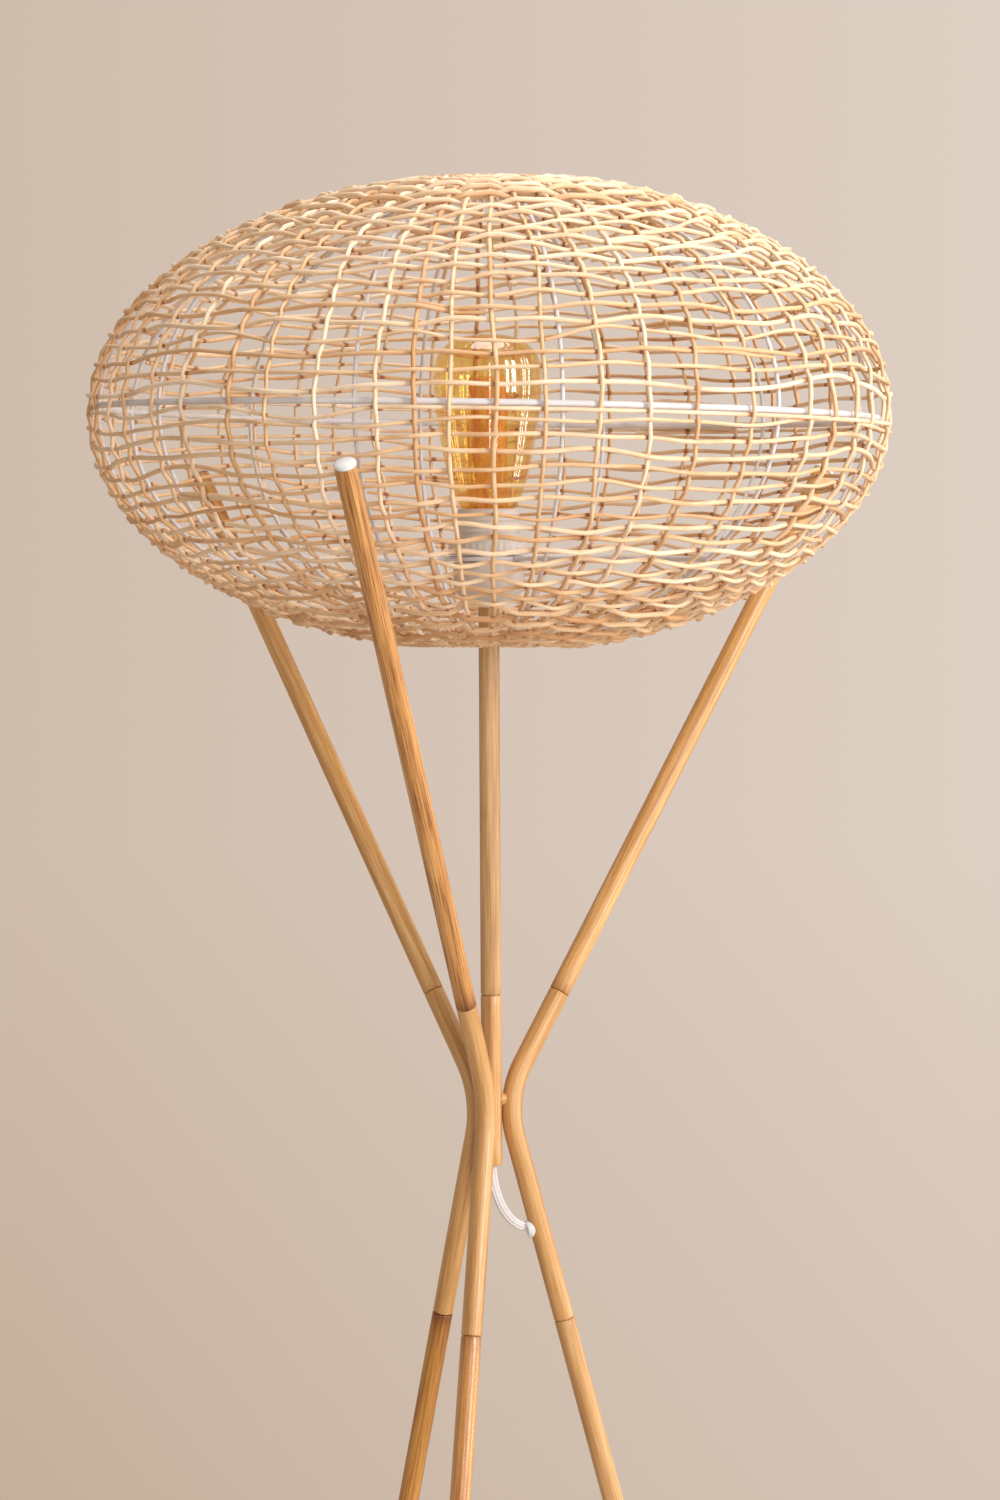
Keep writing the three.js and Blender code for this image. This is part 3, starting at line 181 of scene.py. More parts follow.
class Skin:
    """Gathers swept tubes. Each point keeps its place in the grain, its strand's tone and its darkening:
    browning at a rod's end, or painted shade where a row goes under a stake.
    """

    def __init__(self):
        self.points, self.grain, self.tone, self.soil, self.faces = [], [], [], [], []
        self.count = 0

    def grid(self, points, grain=None, tone=MIDDLE_TONE, loop=False, capped=True, soil=0.0):
        rows, sides = points.shape[:2]
        index = self.count + np.arange(rows * sides).reshape(rows, sides)
        lower, upper = index[:-1], index[1:]
        if loop:
            lower, upper = index, np.roll(index, -1, 0)
        quads = np.stack([lower, np.roll(lower, -1, 1), np.roll(upper, -1, 1), upper], -1)
        self.faces += quads.reshape(-1, 4).tolist()
        if capped and not loop:
            self.faces += [index[0][::-1].tolist(), index[-1].tolist()]
        self.points.append(points.reshape(-1, 3))
        self.grain.append((points if grain is None else grain).reshape(-1, 3))
        self.tone.append(np.full(rows * sides, tone))
        self.soil.append(np.repeat(np.broadcast_to(soil, rows), sides))
        self.count += rows * sides
        return self

    def sweep(self, points, section, radii=1.0, sides=None, tone=MIDDLE_TONE, loop=False, soil=0.0):
        """A section carried along the points, with its first axis along the sides."""
        tangents = tangents_of(points)
        if sides is None:
            sides = carried(points, any_side(points[-1] - points[0]))
        sides = unit_rows(sides - (sides * tangents).sum(1)[:, None] * tangents)
        others = np.cross(tangents, sides)
        radii = np.broadcast_to(radii, len(points))[:, None, None]
        across = radii * section[None]
        ring = across[..., :1] * sides[:, None] + across[..., 1:] * others[:, None]
        lengths = np.concatenate([[0], steps_of(points).cumsum()])
        along = np.broadcast_to(lengths[:, None, None], across.shape[:2] + (1,))
        grain = np.concatenate([across, along], -1) + tone * GRAIN_SHIFT
        return self.grid(points[:, None] + ring, grain, tone, loop, soil=soil)

    def lathe(self, profile, start=ORIGIN, direction=UP, sides=LATHE_SIDES):
        """A profile of (radius, height) turned about the line from start."""
        radii, heights = np.array(profile, float).T
        direction = unit(direction)
        side = any_side(direction)
        other = np.cross(direction, side)
        across = radii[:, None, None] * circle(sides)[None]
        points = start + heights[:, None, None] * direction
        points = points + across[..., :1] * side + across[..., 1:] * other
        along = np.broadcast_to(heights[:, None, None], across.shape[:2] + (1,))
        return self.grid(points, np.concatenate([across, along], -1) + MIDDLE_TONE)

    def piece(self, name, material, slot, replaces=(), body="stand", crease=CREASE):
        """Makes the mesh object, which rides on its body."""
        mesh = bpy.data.meshes.new(name)
        mesh.from_pydata(np.concatenate(self.points).tolist(), [], self.faces)
        grain = mesh.attributes.new("grain", "FLOAT_VECTOR", "POINT")
        grain.data.foreach_set("vector", np.concatenate(self.grain).astype(np.float32).ravel())
        for label, values in (("tone", self.tone), ("soil", self.soil)):
            data = mesh.attributes.new(label, "FLOAT", "POINT").data
            data.foreach_set("value", np.concatenate(values).astype(np.float32))
        mesh.validate()
        mesh.shade_smooth()
        mesh.set_sharp_from_angle(angle=math.radians(crease))
        mesh.materials.append(material)
        piece = add(name, mesh)
        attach(piece, body)
        if replaces:
            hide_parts(*replaces)
        return piece


# Materials
UNCHANGED = (255, 255, 255)
GLASS_INDEX = 1.9
MIX_SHARE, MIX_FIRST, MIX_SECOND, MIX_RESULT = 0, 6, 7, 2


def linear(colour, share=1.0):
    """An sRGB colour of 0 to 255 as a linear one, darkened to a share of its light."""
    parts = np.array(colour) / 255
    parts = np.where(parts > 0.04045, ((parts + 0.055) / 1.055) ** 2.4, parts / 12.92)
    return (*(parts * share), 1.0)


class Graph:
    """The node tree of a material or a world, with short ways to add nodes."""

    def __init__(self, owner):
        owner.use_nodes = True
        self.nodes, self.links = owner.node_tree.nodes, owner.node_tree.links
        self.output = next(n for n in self.nodes if n.type.startswith("OUTPUT")).inputs["Surface"]

    def node(self, kind, inputs=None, **settings):
        made = self.nodes.new("ShaderNode" + kind)
        for setting, value in settings.items():
            setattr(made, setting, value)
        for socket, value in (inputs or {}).items():
            if isinstance(value, bpy.types.NodeSocket):
                self.links.new(value, made.inputs[socket])
            else:
                made.inputs[socket].default_value = value
        return made

    def scaled(self, vector, scale):
        return self.node("Mapping", {"Vector": vector, "Scale": scale}).outputs["Vector"]

    def noise(self, vector, scale=1.0, detail=3.0, roughness=0.55):
        inputs = {"Vector": vector, "Scale": scale, "Detail": detail, "Roughness": roughness}
        return self.node("TexNoise", inputs).outputs["Fac"]

    def ramp(self, factor, *stops):
        """A stop is a position, a colour and, where it is darkened, the share of its light."""
        made = self.node("ValToRGB", {"Fac": factor})
        elements = made.color_ramp.elements
        while len(elements) < len(stops):
            elements.new(0.5)
        for element, (position, colour, *share) in zip(elements, stops):
            element.position = position
            element.color = linear(colour, *share)
        return made.outputs["Color"]

    def ranged(self, value, low, high, to_low, to_high, **settings):
        inputs = {"Value": value, "From Min": low, "From Max": high, "To Min": to_low, "To Max": to_high}
        return self.node("MapRange", inputs, **settings).outputs["Result"]

    def maths(self, operation, first, second):
        return self.node("Math", {0: first, 1: second}, operation=operation).outputs[0]

    def surface(self, factor, first, second):
        """Shows two shaders, mixed by a factor."""
        mixed = self.node("MixShader", {0: factor, 1: first.outputs[0], 2: second.outputs[0]})
        self.links.new(mixed.outputs[0], self.output)


class Look(Graph):
    """A Principled material, whose sockets of one value are set by name."""

    def __init__(self, name, **fixed):
        self.material = bpy.data.materials.new(name)
        super().__init__(self.material)
        self.shader = self.nodes["Principled BSDF"]
        for socket, value in fixed.items():
            self.shader.inputs[socket.replace("_", " ")].default_value = value

    def link(self, output, socket):
        self.links.new(output, self.shader.inputs[socket])

    def attribute(self, name, output="Fac"):
        return self.node("Attribute", attribute_name=name).outputs[output]

    def grain(self, *scale):
        """The place in the grain, scaled across and along."""
        return self.scaled(self.attribute("grain", "Vector"), scale)

    def place(self, *scale):
        """The place on the object, which may be scaled."""
        place = self.node("TexCoord").outputs["Object"]
        return self.scaled(place, scale) if scale else place

    def darkened(self, colour, share, factor, *stops):
        """The colour multiplied by a ramp, by a share."""
        inputs = {MIX_SHARE: share, MIX_FIRST: colour, MIX_SECOND: self.ramp(factor, *stops)}
        return self.node("Mix", inputs, data_type="RGBA", blend_type="MULTIPLY").outputs[MIX_RESULT]

    def bump(self, height, strength, distance):
        inputs = {"Height": height, "Strength": strength, "Distance": distance}
        return self.node("Bump", inputs).outputs["Normal"]

    def coated(self, colour, uneven, rough_low, rough_high, *relief):
        """The material with its colour, its roughness where an uneven value is low and high, and relief."""
        self.link(colour, "Base Color")
        self.link(self.ranged(uneven, 0.3, 0.7, rough_low, rough_high), "Roughness")
        if relief:
            self.link(self.bump(*relief), "Normal")
        return self.material


def wood(name, dark, middle, pale, gloss, coat, grain):
    """Varnished wood: broad tones, dark flecks along the grain, fine fibres, and browned ends."""
    look = Look(name, Coat_Weight=coat, Coat_Roughness=0.25)
    broad = look.noise(look.grain(160, 160, 5), detail=5, roughness=0.6)
    flecks = look.noise(look.grain(950, 950, 22), detail=5, roughness=0.65)
    fibres = look.noise(look.grain(1700, 1700, 40), detail=2)
    colour = look.ramp(broad, (0.32, dark), (0.5, middle), (0.68, pale))
    colour = look.darkened(colour, grain, flecks, (0.36, (150, 104, 60)), (0.55, UNCHANGED))
    colour = look.darkened(colour, 0.6, fibres, (0.35, (222, 198, 168)), (0.6, UNCHANGED))
    colour = look.darkened(colour, 1.0, look.attribute("soil"), (0.0, UNCHANGED), (1.0, (148, 98, 52)))
    return look.coated(colour, flecks, gloss + 0.14, gloss, fibres, 0.25, 0.15 * MM)


def rattan(name, deep, middle, pale):
    """Peeled cane: a tone for each strand, mottled along it, with fine lengthwise fibres."""
    look = Look(name)
    mottle = look.noise(look.grain(60, 60, 28), detail=4, roughness=0.6)
    fibres = look.noise(look.grain(2600, 2600, 60), detail=2)
    colour = look.ramp(look.attribute("tone"), (0.0, deep), (0.45, middle), (1.0, pale))
    colour = look.darkened(colour, 0.6, mottle, (0.28, (218, 174, 122)), (0.5, (255, 251, 246)))
    colour = look.darkened(colour, 0.5, fibres, (0.3, (216, 196, 168)), (0.6, UNCHANGED))
    # Painted shade: rows are darkened where they go under a stake, as if in the stake's shadow.
    colour = look.darkened(colour, 1.0, look.attribute("soil"), (0.0, UNCHANGED), (1.0, (174, 120, 70)))
    return look.coated(colour, mottle, 0.62, 0.45, fibres, 0.35, 0.12 * MM)


def moulded(name, colour, roughness, bump=0.12, shade=0.93):
    """Moulded plastic, rubber or coating: near one colour, with a fine uneven skin."""
    look = Look(name)
    place = look.place()
    cloud = look.noise(place, scale=60, detail=2)
    skin = look.noise(place, scale=900, detail=2)
    clouded = look.ramp(cloud, (0.35, colour, shade), (0.6, colour))
    return look.coated(clouded, skin, roughness - 0.05, roughness + 0.08, skin, bump, 0.05 * MM)


def metal(name, colour, roughness):
    """Metal drawn along its length, with fine lines in its colour and gloss."""
    look = Look(name, Metallic=1.0)
    lines = look.noise(look.place(1, 1, 0.05), scale=700)
    lined = look.ramp(lines, (0.35, colour, 0.9), (0.65, colour))
    return look.coated(lined, lines, roughness, roughness + 0.15)


def tinted_glass(name, tint, streak, gloss, ripples=0.0):
    """Thin tinted glass: what is behind shows through the tint, and lamps glint on it."""
    look = Look(name)
    wavy = look.noise(look.place(1, 1, 0.45), scale=190, detail=4)
    colour = look.ramp(wavy, (0.38, streak), (0.56, tint))
    through = look.node("BsdfTransparent", {"Color": colour})
    glint = look.node("BsdfGlossy", {"Color": (1, 1, 1, 1), "Roughness": gloss})
    if ripples:
        look.links.new(look.bump(wavy, ripples, 0.6 * MM), glint.inputs["Normal"])
    inside = look.node("NewGeometry").outputs["Backfacing"]
    index = look.ranged(inside, 0.0, 1.0, GLASS_INDEX, 1 / GLASS_INDEX)
    look.surface(look.node("Fresnel", {"IOR": index}).outputs["Fac"], through, glint)
    look.nodes.remove(look.shader)
    return look.material


def streaked_sleeve(name, pale, deep, tint):
    """A clear sleeve with upright amber streaks that hide part of what is behind."""
    look = Look(name, Roughness=0.4)
    streaks = look.noise(look.place(1, 1, 0.12), scale=300, detail=4)
    look.link(look.ramp(streaks, (0.35, deep), (0.6, pale)), "Base Color")
    through = look.node("BsdfTransparent", {"Color": linear(tint)})
    look.surface(look.ranged(streaks, 0.38, 0.6, 0.7, 0.12), through, look.shader)
    return look.material


# Woods are given from dark to pale, then their roughness, their coat and the strength of their grain
HONEY = wood("honey_wood", (184, 134, 74), (216, 168, 104), (232, 192, 136), 0.4, 0.2, 0.35)
FRONT_ARM = wood("front_arm_wood", (176, 122, 64), (212, 158, 92), (230, 184, 122), 0.38, 0.25, 0.85)
DEEP = wood("deep_honey_wood", (158, 104, 36), (194, 138, 62), (214, 162, 84), 0.36, 0.2, 0.6)
ORANGE = wood("orange_wood", (172, 112, 50), (204, 148, 80), (222, 172, 106), 0.26, 0.6, 0.3)
PALE_LEG = wood("pale_leg_wood", (186, 140, 86), (210, 166, 110), (224, 186, 134), 0.42, 0.2, 0.25)
BEND = wood("bend_wood", (178, 130, 76), (205, 158, 98), (218, 177, 122), 0.38, 0.3, 0.25)
POST = wood("post_wood", (168, 126, 78), (192, 152, 102), (210, 174, 126), 0.42, 0.2, 0.3)
CANE = rattan("cane", (202, 150, 98), (234, 203, 165), (248, 231, 209))
WIRE = moulded("white_wire", (218, 216, 220), 0.42, bump=0.2, shade=0.88)
WHITE = moulded("white_plastic", (224, 225, 226), 0.32)
# The holder is white plastic, given a greyer beige as painted shade, because it stands inside the lampshade.
SHADED_HOLDER = moulded("shaded_holder_plastic", (204, 196, 190), 0.4)
FLEX = moulded("white_flex", (222, 218, 223), 0.5, bump=0.2)
SOFT_WHITE = moulded("soft_white", (220, 216, 208), 0.7, bump=0.3)
STEEL = metal("steel", (178, 180, 184), 0.3)
BRASS = metal("brass", (200, 160, 84), 0.3)
NICKEL = metal("nickel", (205, 204, 200), 0.18)
CERAMIC = moulded("glazed_ceramic", (238, 236, 228), 0.2)
DARK = moulded("dark_insulator", (34, 30, 28), 0.25)
AMBER = tinted_glass("amber_glass", (251, 233, 172), (246, 208, 136), 0.06, ripples=0.08)
CLEAR = tinted_glass("clear_glass", (250, 236, 208), (240, 220, 180), 0.08)
STICK = moulded("filament_coat", (250, 190, 60), 0.5)
CORE = streaked_sleeve("core_sleeve", (240, 200, 104), (228, 166, 70), (250, 243, 198))

# Inner pieces keep their solids, with a look by the start of their names
INNER_LOOKS = [
    (STEEL, ("arm_stud", "leg_stud", "leg_nipple", "post_nipple", "holder_nipple", "switch_pin")),
    (BEND, ("waist_spacer",)),
    (CERAMIC, ("holder_insert",)),
    (BRASS, ("holder_contact", "holder_screw_shell", "bulb_contact")),
    (NICKEL, ("bulb_cap",)),
    (DARK, ("bulb_insulator",)),
]

# Small moulded pieces keep their solids, with edges eased by this width and in these steps
EASED = [
    ("switch_base", WHITE, 0.8 * MM, 3),
    ("switch_cover", WHITE, 0.8 * MM, 3),
    ("switch_rocker", SOFT_WHITE, 0.5 * MM, 3),
    ("plug_body", WHITE, 1.6 * MM, 4),
    ("plug_pin_1", NICKEL, 0.4 * MM, 3),
    ("plug_pin_2", NICKEL, 0.4 * MM, 3),
    ("coil_tie", FLEX, 0.15 * MM, 2),
]
EASED_ANGLE = math.radians(35)


def dress(name, look):
    """Gives a node of the frame another material."""
    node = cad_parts[name]
    node.data.materials.clear()
    node.data.materials.append(look)
    return node


def dress_nodes():
    for look, starts in INNER_LOOKS:
        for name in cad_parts:
            if name.startswith(starts):
                dress(name, look)
    for name, look, width, segments in EASED:
        bevel = dress(name, look).modifiers.new("eased", "BEVEL")
        bevel.width, bevel.segments = width, segments
        bevel.limit_method, bevel.angle_limit = "ANGLE", EASED_ANGLE


dress_nodes()

# Flat flex: an oval section drawn in between its three cores
FLEX_WIDTH = 6 * MM
FLEX_THICKNESS = 3.6 * MM
FLEX_SIDES = 36
FLEX_FULLNESS = 0.8
GROOVE_DEPTH_SHARE = 0.3
GROOVE_PLACE_SHARE = 0.36
GROOVE_WIDTH_SHARE = 0.11


def flex_section():
    angles = round_angles(FLEX_SIDES)
    place = np.sign(np.cos(angles)) * np.abs(np.cos(angles)) ** FLEX_FULLNESS
    grooves = np.exp(-(((np.abs(place) - GROOVE_PLACE_SHARE) / GROOVE_WIDTH_SHARE) ** 2))
    thick = FLEX_THICKNESS / 2 * np.sin(angles) * (1 - GROOVE_DEPTH_SHARE * grooves)
    return np.stack([FLEX_WIDTH / 2 * place, thick], 1)


# The lead on the floor, in millimetres in the right leg's frame, as in the solid model
right_foot, right_leg_top = legs["right"]
LEAD_TURN = math.atan2(right_foot[1], right_foot[0])
LEAD_TO_SWITCH = [(207.4, 0, 14.4), (200, 0, 8.2), (191.5, 0, 4.6), (181.5, 0.6, 3.1)]
LEAD_TO_SWITCH += [(170.5, 2, 4.5), (160.5, 4.2, 7.3), (150.8, 5.2, 9)]
LEAD_TO_COIL = [(88.2, 5.2, 9), (79, 6.3, 7.3), (69, 7.7, 4.1), (58.5, 11.5, 2.1), (49.5, 18.5, 2.1)]
LEAD_TO_COIL += [(43, 28.5, 2.1), (39, 41, 2.1), (36.8, 55, 2.1), (35.8, 70, 2.4), (35.6, 85, 2.9)]
LEAD_TO_PLUG = [(-32, 145.8, 6.2), (-42, 145.2, 5), (-53, 145, 5.4), (-65.7, 145, 6.8)]
COIL_CENTRE = np.array([-10, 102, 0])
COIL_RADIUS, COIL_TURNS, COIL_PITCH, COIL_LAYER, COIL_REST = 36, 5.25, 6.9, 4.5, 2.9
COIL_STEPS = 48


def to_row(points):
    """Points in millimetres in the right leg's frame, as metres in the row frame."""
    x, y, z = np.array(points, float).T * MM
    cos, sin = math.cos(LEAD_TURN), math.sin(LEAD_TURN)
    return np.stack([x * cos - y * sin, x * sin + y * cos, z], 1)


def smooth_line(points, steps_each=10):
    """A centripetal Catmull-Rom line through the points."""
    points = np.asarray(points, float)
    ends = np.array([2 * points[0] - points[1], *points, 2 * points[-1] - points[-2]])

    def between(places, starts, stops, t):
        spans = zip(places, places[1:], starts, stops)
        return [((stop - t) * p + (t - start) * q) / (stop - start) for p, q, start, stop in spans]

    line = []
    for corners in zip(ends, ends[1:], ends[2:], ends[3:]):
        knots = np.cumsum([0, *[np.linalg.norm(q - p) ** 0.5 for p, q in zip(corners, corners[1:])]])
        for t in knots[1] + (knots[2] - knots[1]) * np.arange(steps_each) / steps_each:
            first = between(corners, knots, knots[1:], t)
            second = between(first, knots, knots[2:], t)
            line += between(second, knots[1:], knots[2:], t)
    return np.array([*line, points[-1]])


def coil_line():
    """Turns that spiral in on the floor, climb a layer and spiral out again."""
    total = COIL_TURNS * TURN
    low_end = (total - math.pi) / 2
    layer_turns = low_end / TURN
    outer = COIL_RADIUS + COIL_PITCH * layer_turns / 2
    inner = outer - COIL_PITCH * layer_turns
    angle = np.linspace(0, total, round(COIL_TURNS * COIL_STEPS) + 1)
    climb = np.clip((angle - low_end) / math.pi, 0, 1)
    radius = outer - COIL_PITCH * np.minimum(angle, total - angle) / TURN
    dip = inner - COIL_PITCH / 2 * np.sin(climb * math.pi)
    radius = np.where((climb > 0) & (climb < 1), dip, radius)
    height = COIL_REST + COIL_LAYER * climb * climb * (3 - 2 * climb)
    return COIL_CENTRE + polar(radius, angle, height)


# The ports of the right leg, where the flex goes in and the lead comes out
PORT_SLANT = math.radians(35)
PORT_OFFSET = 6 * MM
EXIT_HEIGHT = 52 * MM
RELIEF_LENGTH = 28 * MM
leg_down = unit(right_foot - right_leg_top)
leg_plane = unit(right_foot * [1, 1, 0])
inward = unit(np.cross(np.cross(leg_down, -leg_plane), leg_down))


def on_leg(height):
    """The point on the right leg's axis at a height."""
    share = (height - right_foot[2]) / (right_leg_top[2] - right_foot[2])
    return right_foot + (right_leg_top - right_foot) * share


def port_ray(axis_point, down_sign):
    """The start and the direction of a slanted port."""
    direction = inward * math.cos(PORT_SLANT) + leg_down * math.sin(PORT_SLANT) * down_sign
    return axis_point + inward * PORT_OFFSET, direction


exit_start, exit_direction = port_ray(on_leg(EXIT_HEIGHT), 1)
LEAD_EXIT = exit_start + exit_direction * (RELIEF_LENGTH + FIT_GAP)


def flat_lead(name, line, replaces):
    """A stretch of the flat lead with its wide side level."""
    skin = Skin().sweep(line, flex_section(), sides=np.cross(tangents_of(line), UP))
    piece = skin.piece(name, FLEX, "white_flex", replaces)


def make_lead():
    after_exit = LEAD_EXIT + exit_direction * FLEX_WIDTH
    first = smooth_line([LEAD_EXIT, after_exit, *to_row(LEAD_TO_SWITCH)])
    coil = to_row(coil_line())
    before = coil[0] + unit(coil[0] - coil[1]) * FLEX_WIDTH
    after = coil[-1] + unit(coil[-1] - coil[-2]) * 2 * FLEX_WIDTH
    from_switch = to_row(LEAD_TO_COIL)
    second = smooth_line([*from_switch, before, coil[0]])
    third = smooth_line([coil[-1], after, *to_row(LEAD_TO_PLUG)])
    rest = np.concatenate([second[:-1], coil, third[1:]])
    flat_lead("lead_first_stretch", first, ["lead_to_switch"])
    coil_nodes = ["lead_to_coil", "lead_coil", "lead_to_plug"]
    flat_lead("lead_coiled", rest, coil_nodes)


make_lead()

# Flex inside the lamp: down the post, across to the grommet, down the right leg and out above the floor
FLEX_DROP = 14 * MM
PORT_STRAIGHT = 6 * MM
PORT_SWEEP = 14 * MM
PORT_TURN = 9 * MM
PORT_INSET = 16 * MM
ENTRY_BELOW_CORNER = 85 * MM
BEND_RADIUS = 58 * MM


def corner_of(place):
    """The point where the lines of an arm and its leg meet, and the directions away from it."""
    arm_start, arm_end = arms[place]
    leg_end, leg_start = legs[place]
    arm_line, leg_line = unit(arm_end - arm_start), unit(leg_end - leg_start)
    across = leg_start - arm_start
    cosine = arm_line @ leg_line
    distance = (across @ arm_line - cosine * (across @ leg_line)) / (1 - cosine**2)
    return arm_start + distance * arm_line, arm_line, leg_line


right_corner, _, right_leg_line = corner_of("right")
entry = right_corner + right_leg_line * ENTRY_BELOW_CORNER
entry_start, entry_direction = port_ray(entry, -1)


def bezier(steps, a, b, c, d):
    t = np.linspace(0, 1, steps + 1)[:, None]
    return (1 - t) ** 3 * a + 3 * (1 - t) ** 2 * t * b + 3 * (1 - t) * t**2 * c + t**3 * d


def lamp_flex_line():
    post_end = UP * post_low
    mouth = entry_start + entry_direction * PORT_STRAIGHT
    bridge = bezier(40, post_end, post_end - UP * FLEX_DROP, mouth + entry_direction * PORT_SWEEP, mouth)
    inner = right_corner + right_leg_line * (ENTRY_BELOW_CORNER + PORT_INSET)
    into = bezier(16, mouth, entry_start, entry_start - entry_direction * PORT_TURN, inner)[1:]
    low = on_leg(EXIT_HEIGHT) - right_leg_line * PORT_INSET
    end = exit_start + exit_direction * (RELIEF_LENGTH - FIT_GAP)
    out = bezier(20, low, exit_start - exit_direction * PORT_TURN, exit_start, end)
    upper = np.linspace(UP * heights_of("lamp_flex")[1], post_end, 30, endpoint=False)
    leg_part = np.linspace(inner, low, 50)[1:-1]
    return np.concatenate([upper, bridge, into, leg_part, out])


def make_lamp_flex():
    line = lamp_flex_line()
    skin = Skin().sweep(line, flex_section(), sides=carried(line, np.array([1.0, 0.0, 0.0])))
    skin.piece("lamp_flex_round", FLEX, "white_flex", ["lamp_flex"])


make_lamp_flex()

# Rods
ROD_SIDES = 40
ROD_STEP = 6 * MM
EDGE = 0.7 * MM
EDGE_STEP_SHARE = 0.3
EDGE_DROP_SHARES = np.array([1.0, 0.35, 0.0])
BROWNED = 9 * MM
ARC_POINTS, UPPER_POINTS, LOWER_POINTS = 33, 12, 16


def straight_rod(name, start, end, material, slot, replaces, tone, low_brown=0.0, high_brown=0.0):
    """A round rod with eased ends, which may be browned at an end that meets a bend."""
    length = np.linalg.norm(end - start)
    inner = np.linspace(EDGE, length - EDGE, round(length / ROD_STEP))
    stops = np.array([0, EDGE_STEP_SHARE * EDGE, *inner, length - EDGE_STEP_SHARE * EDGE, length])
    radii = np.full(len(stops), ROD_RADIUS)
    radii[:3] -= EDGE_DROP_SHARES * EDGE
    radii[-3:] -= EDGE_DROP_SHARES[::-1] * EDGE
    brown = low_brown * np.exp(-stops / BROWNED) + high_brown * np.exp((stops - length) / BROWNED)
    points = start + stops[:, None] * unit(end - start)
    sides = np.tile(any_side(points[-1] - points[0]), (len(points), 1))
    skin = Skin().sweep(points, circle(ROD_SIDES), radii, sides, tone, soil=brown)
    skin.piece(name, material, slot, [replaces])


def bend_points(place):
    """A straight stretch, an arc round the corner and a straight stretch."""
    corner, arm_line, leg_line = corner_of(place)
    turn = math.pi - math.acos(arm_line @ leg_line)
    reach = BEND_RADIUS * math.tan(turn / 2)
    centre = corner + unit(arm_line + leg_line) * BEND_RADIUS / math.cos(turn / 2)
    first, last = corner + arm_line * reach - centre, corner + leg_line * reach - centre
    share = np.linspace(0, 1, ARC_POINTS)[:, None]
    arc = (np.sin((1 - share) * turn) * first + np.sin(share * turn) * last) / math.sin(turn) + centre
    start = arms[place][0] - arm_line * FIT_GAP
    end = legs[place][1] - leg_line * FIT_GAP
    upper = np.linspace(start, arc[0], UPPER_POINTS)[:-1]
    lower = np.linspace(arc[-1], end, LOWER_POINTS)[1:]
    return np.concatenate([upper, arc, lower])


def bent_rod(place, tone):
    line = bend_points(place)
    first, last = unit(line[0] - line[1]), unit(line[-1] - line[-2])
    line = np.array([line[0], line[0] - first * EDGE, *line[1:-1], line[-1] - last * EDGE, line[-1]])
    radii = np.full(len(line), ROD_RADIUS)
    radii[[0, -1]] -= EDGE
    skin = Skin().sweep(line, circle(ROD_SIDES), radii, tone=tone)
    skin.piece("bend_" + place, BEND, "pale_wood", ["waist_bend_" + place])


# For each place: the arm's look and how brown its lower end is, the leg's and its upper end
ROD_LOOKS = {
    "back": (HONEY, 0.12, DEEP, 0.9),
    "right": (HONEY, 0.45, PALE_LEG, 0.15),
    "front": (FRONT_ARM, 0.9, ORANGE, 0.5),
}


def make_rods():
    for index, place in enumerate(PLACES):
        tone = 0.2 + 0.3 * index
        arm_look, arm_brown, leg_look, leg_brown = ROD_LOOKS[place]
        arm, leg = "upper_arm_" + place, "lower_leg_" + place
        straight_rod("arm_" + place, *arms[place], arm_look, "honey_wood", arm, tone, low_brown=arm_brown)
        bent_rod(place, tone + 0.1)
        tone += 0.05
        straight_rod("leg_" + place, *legs[place], leg_look, "honey_wood", leg, tone, high_brown=leg_brown)
    low, seam, high = UP * post_low, UP * post_seam, UP * post_high
    straight_rod("post_low_rod", low, seam - UP * FIT_GAP, BEND, "pale_wood", "post_lower", 0.7)
    straight_rod("post_high_rod", seam, high, POST, "honey_wood", "post_upper", 0.9)


make_rods()

# White caps on the arms' tips, in millimetres
CAP_FOOT = [(0.5, 0), (6.4, 0), (6.7, 0.3)]
CAP_RADIUS, CAP_RIM, CAP_DOME, TIP = 6.7, 1.4, 3.6, 0.05


def make_caps():
    angles = np.linspace(0, math.pi / 2, 12)[:-1]
    curve = [(CAP_RADIUS * math.cos(a), CAP_RIM + (CAP_DOME - CAP_RIM) * math.sin(a)) for a in angles]
    profile = in_mm([*CAP_FOOT, *curve, (TIP, CAP_DOME)])
    for place in PLACES:
        start, end = arms[place]
        skin = Skin().lathe(profile, end + unit(end - start) * FIT_GAP, end - start)
        skin.piece("cap_" + place, WHITE, "white_plastic", ["arm_cap_" + place])


make_caps()

# Soft cups on the leg ends, cut level where they stand, as (radius, height) in millimetres
CUP_STOPS = [(6.55, 23), (6.55, 24), (8, 24), (8.6, 23.7), (8.8, 23), (8.8, 12), (8.8, 2)]
SOLE_STOPS = [(8.8, 1), (8.5, 0.3), (7.8, 0)]
SOLE_SHARE = 0.02


def make_feet():
    for place in PLACES:
        low, high = legs[place]
        upward = unit(high - low)
        side = any_side(high - low)
        ring = circle(48)
        around = ring[:, :1] * side + ring[:, 1:] * np.cross(upward, side)
        rows = [low + upward * height + around * radius for radius, height in in_mm(CUP_STOPS)]
        for radius, height in in_mm(SOLE_STOPS):
            base = low + around * radius
            rows.append(base + upward * ((height - base[:, 2]) / upward[2])[:, None])
        edge = rows[-1]
        skin = Skin().grid(np.array(rows), capped=False)
        skin.grid(np.array([edge, edge * SOLE_SHARE + edge.mean(0) * (1 - SOLE_SHARE)]))
        skin.piece("foot_cup_" + place, SOFT_WHITE, "foot_rubber", ["foot_" + place])


make_feet()

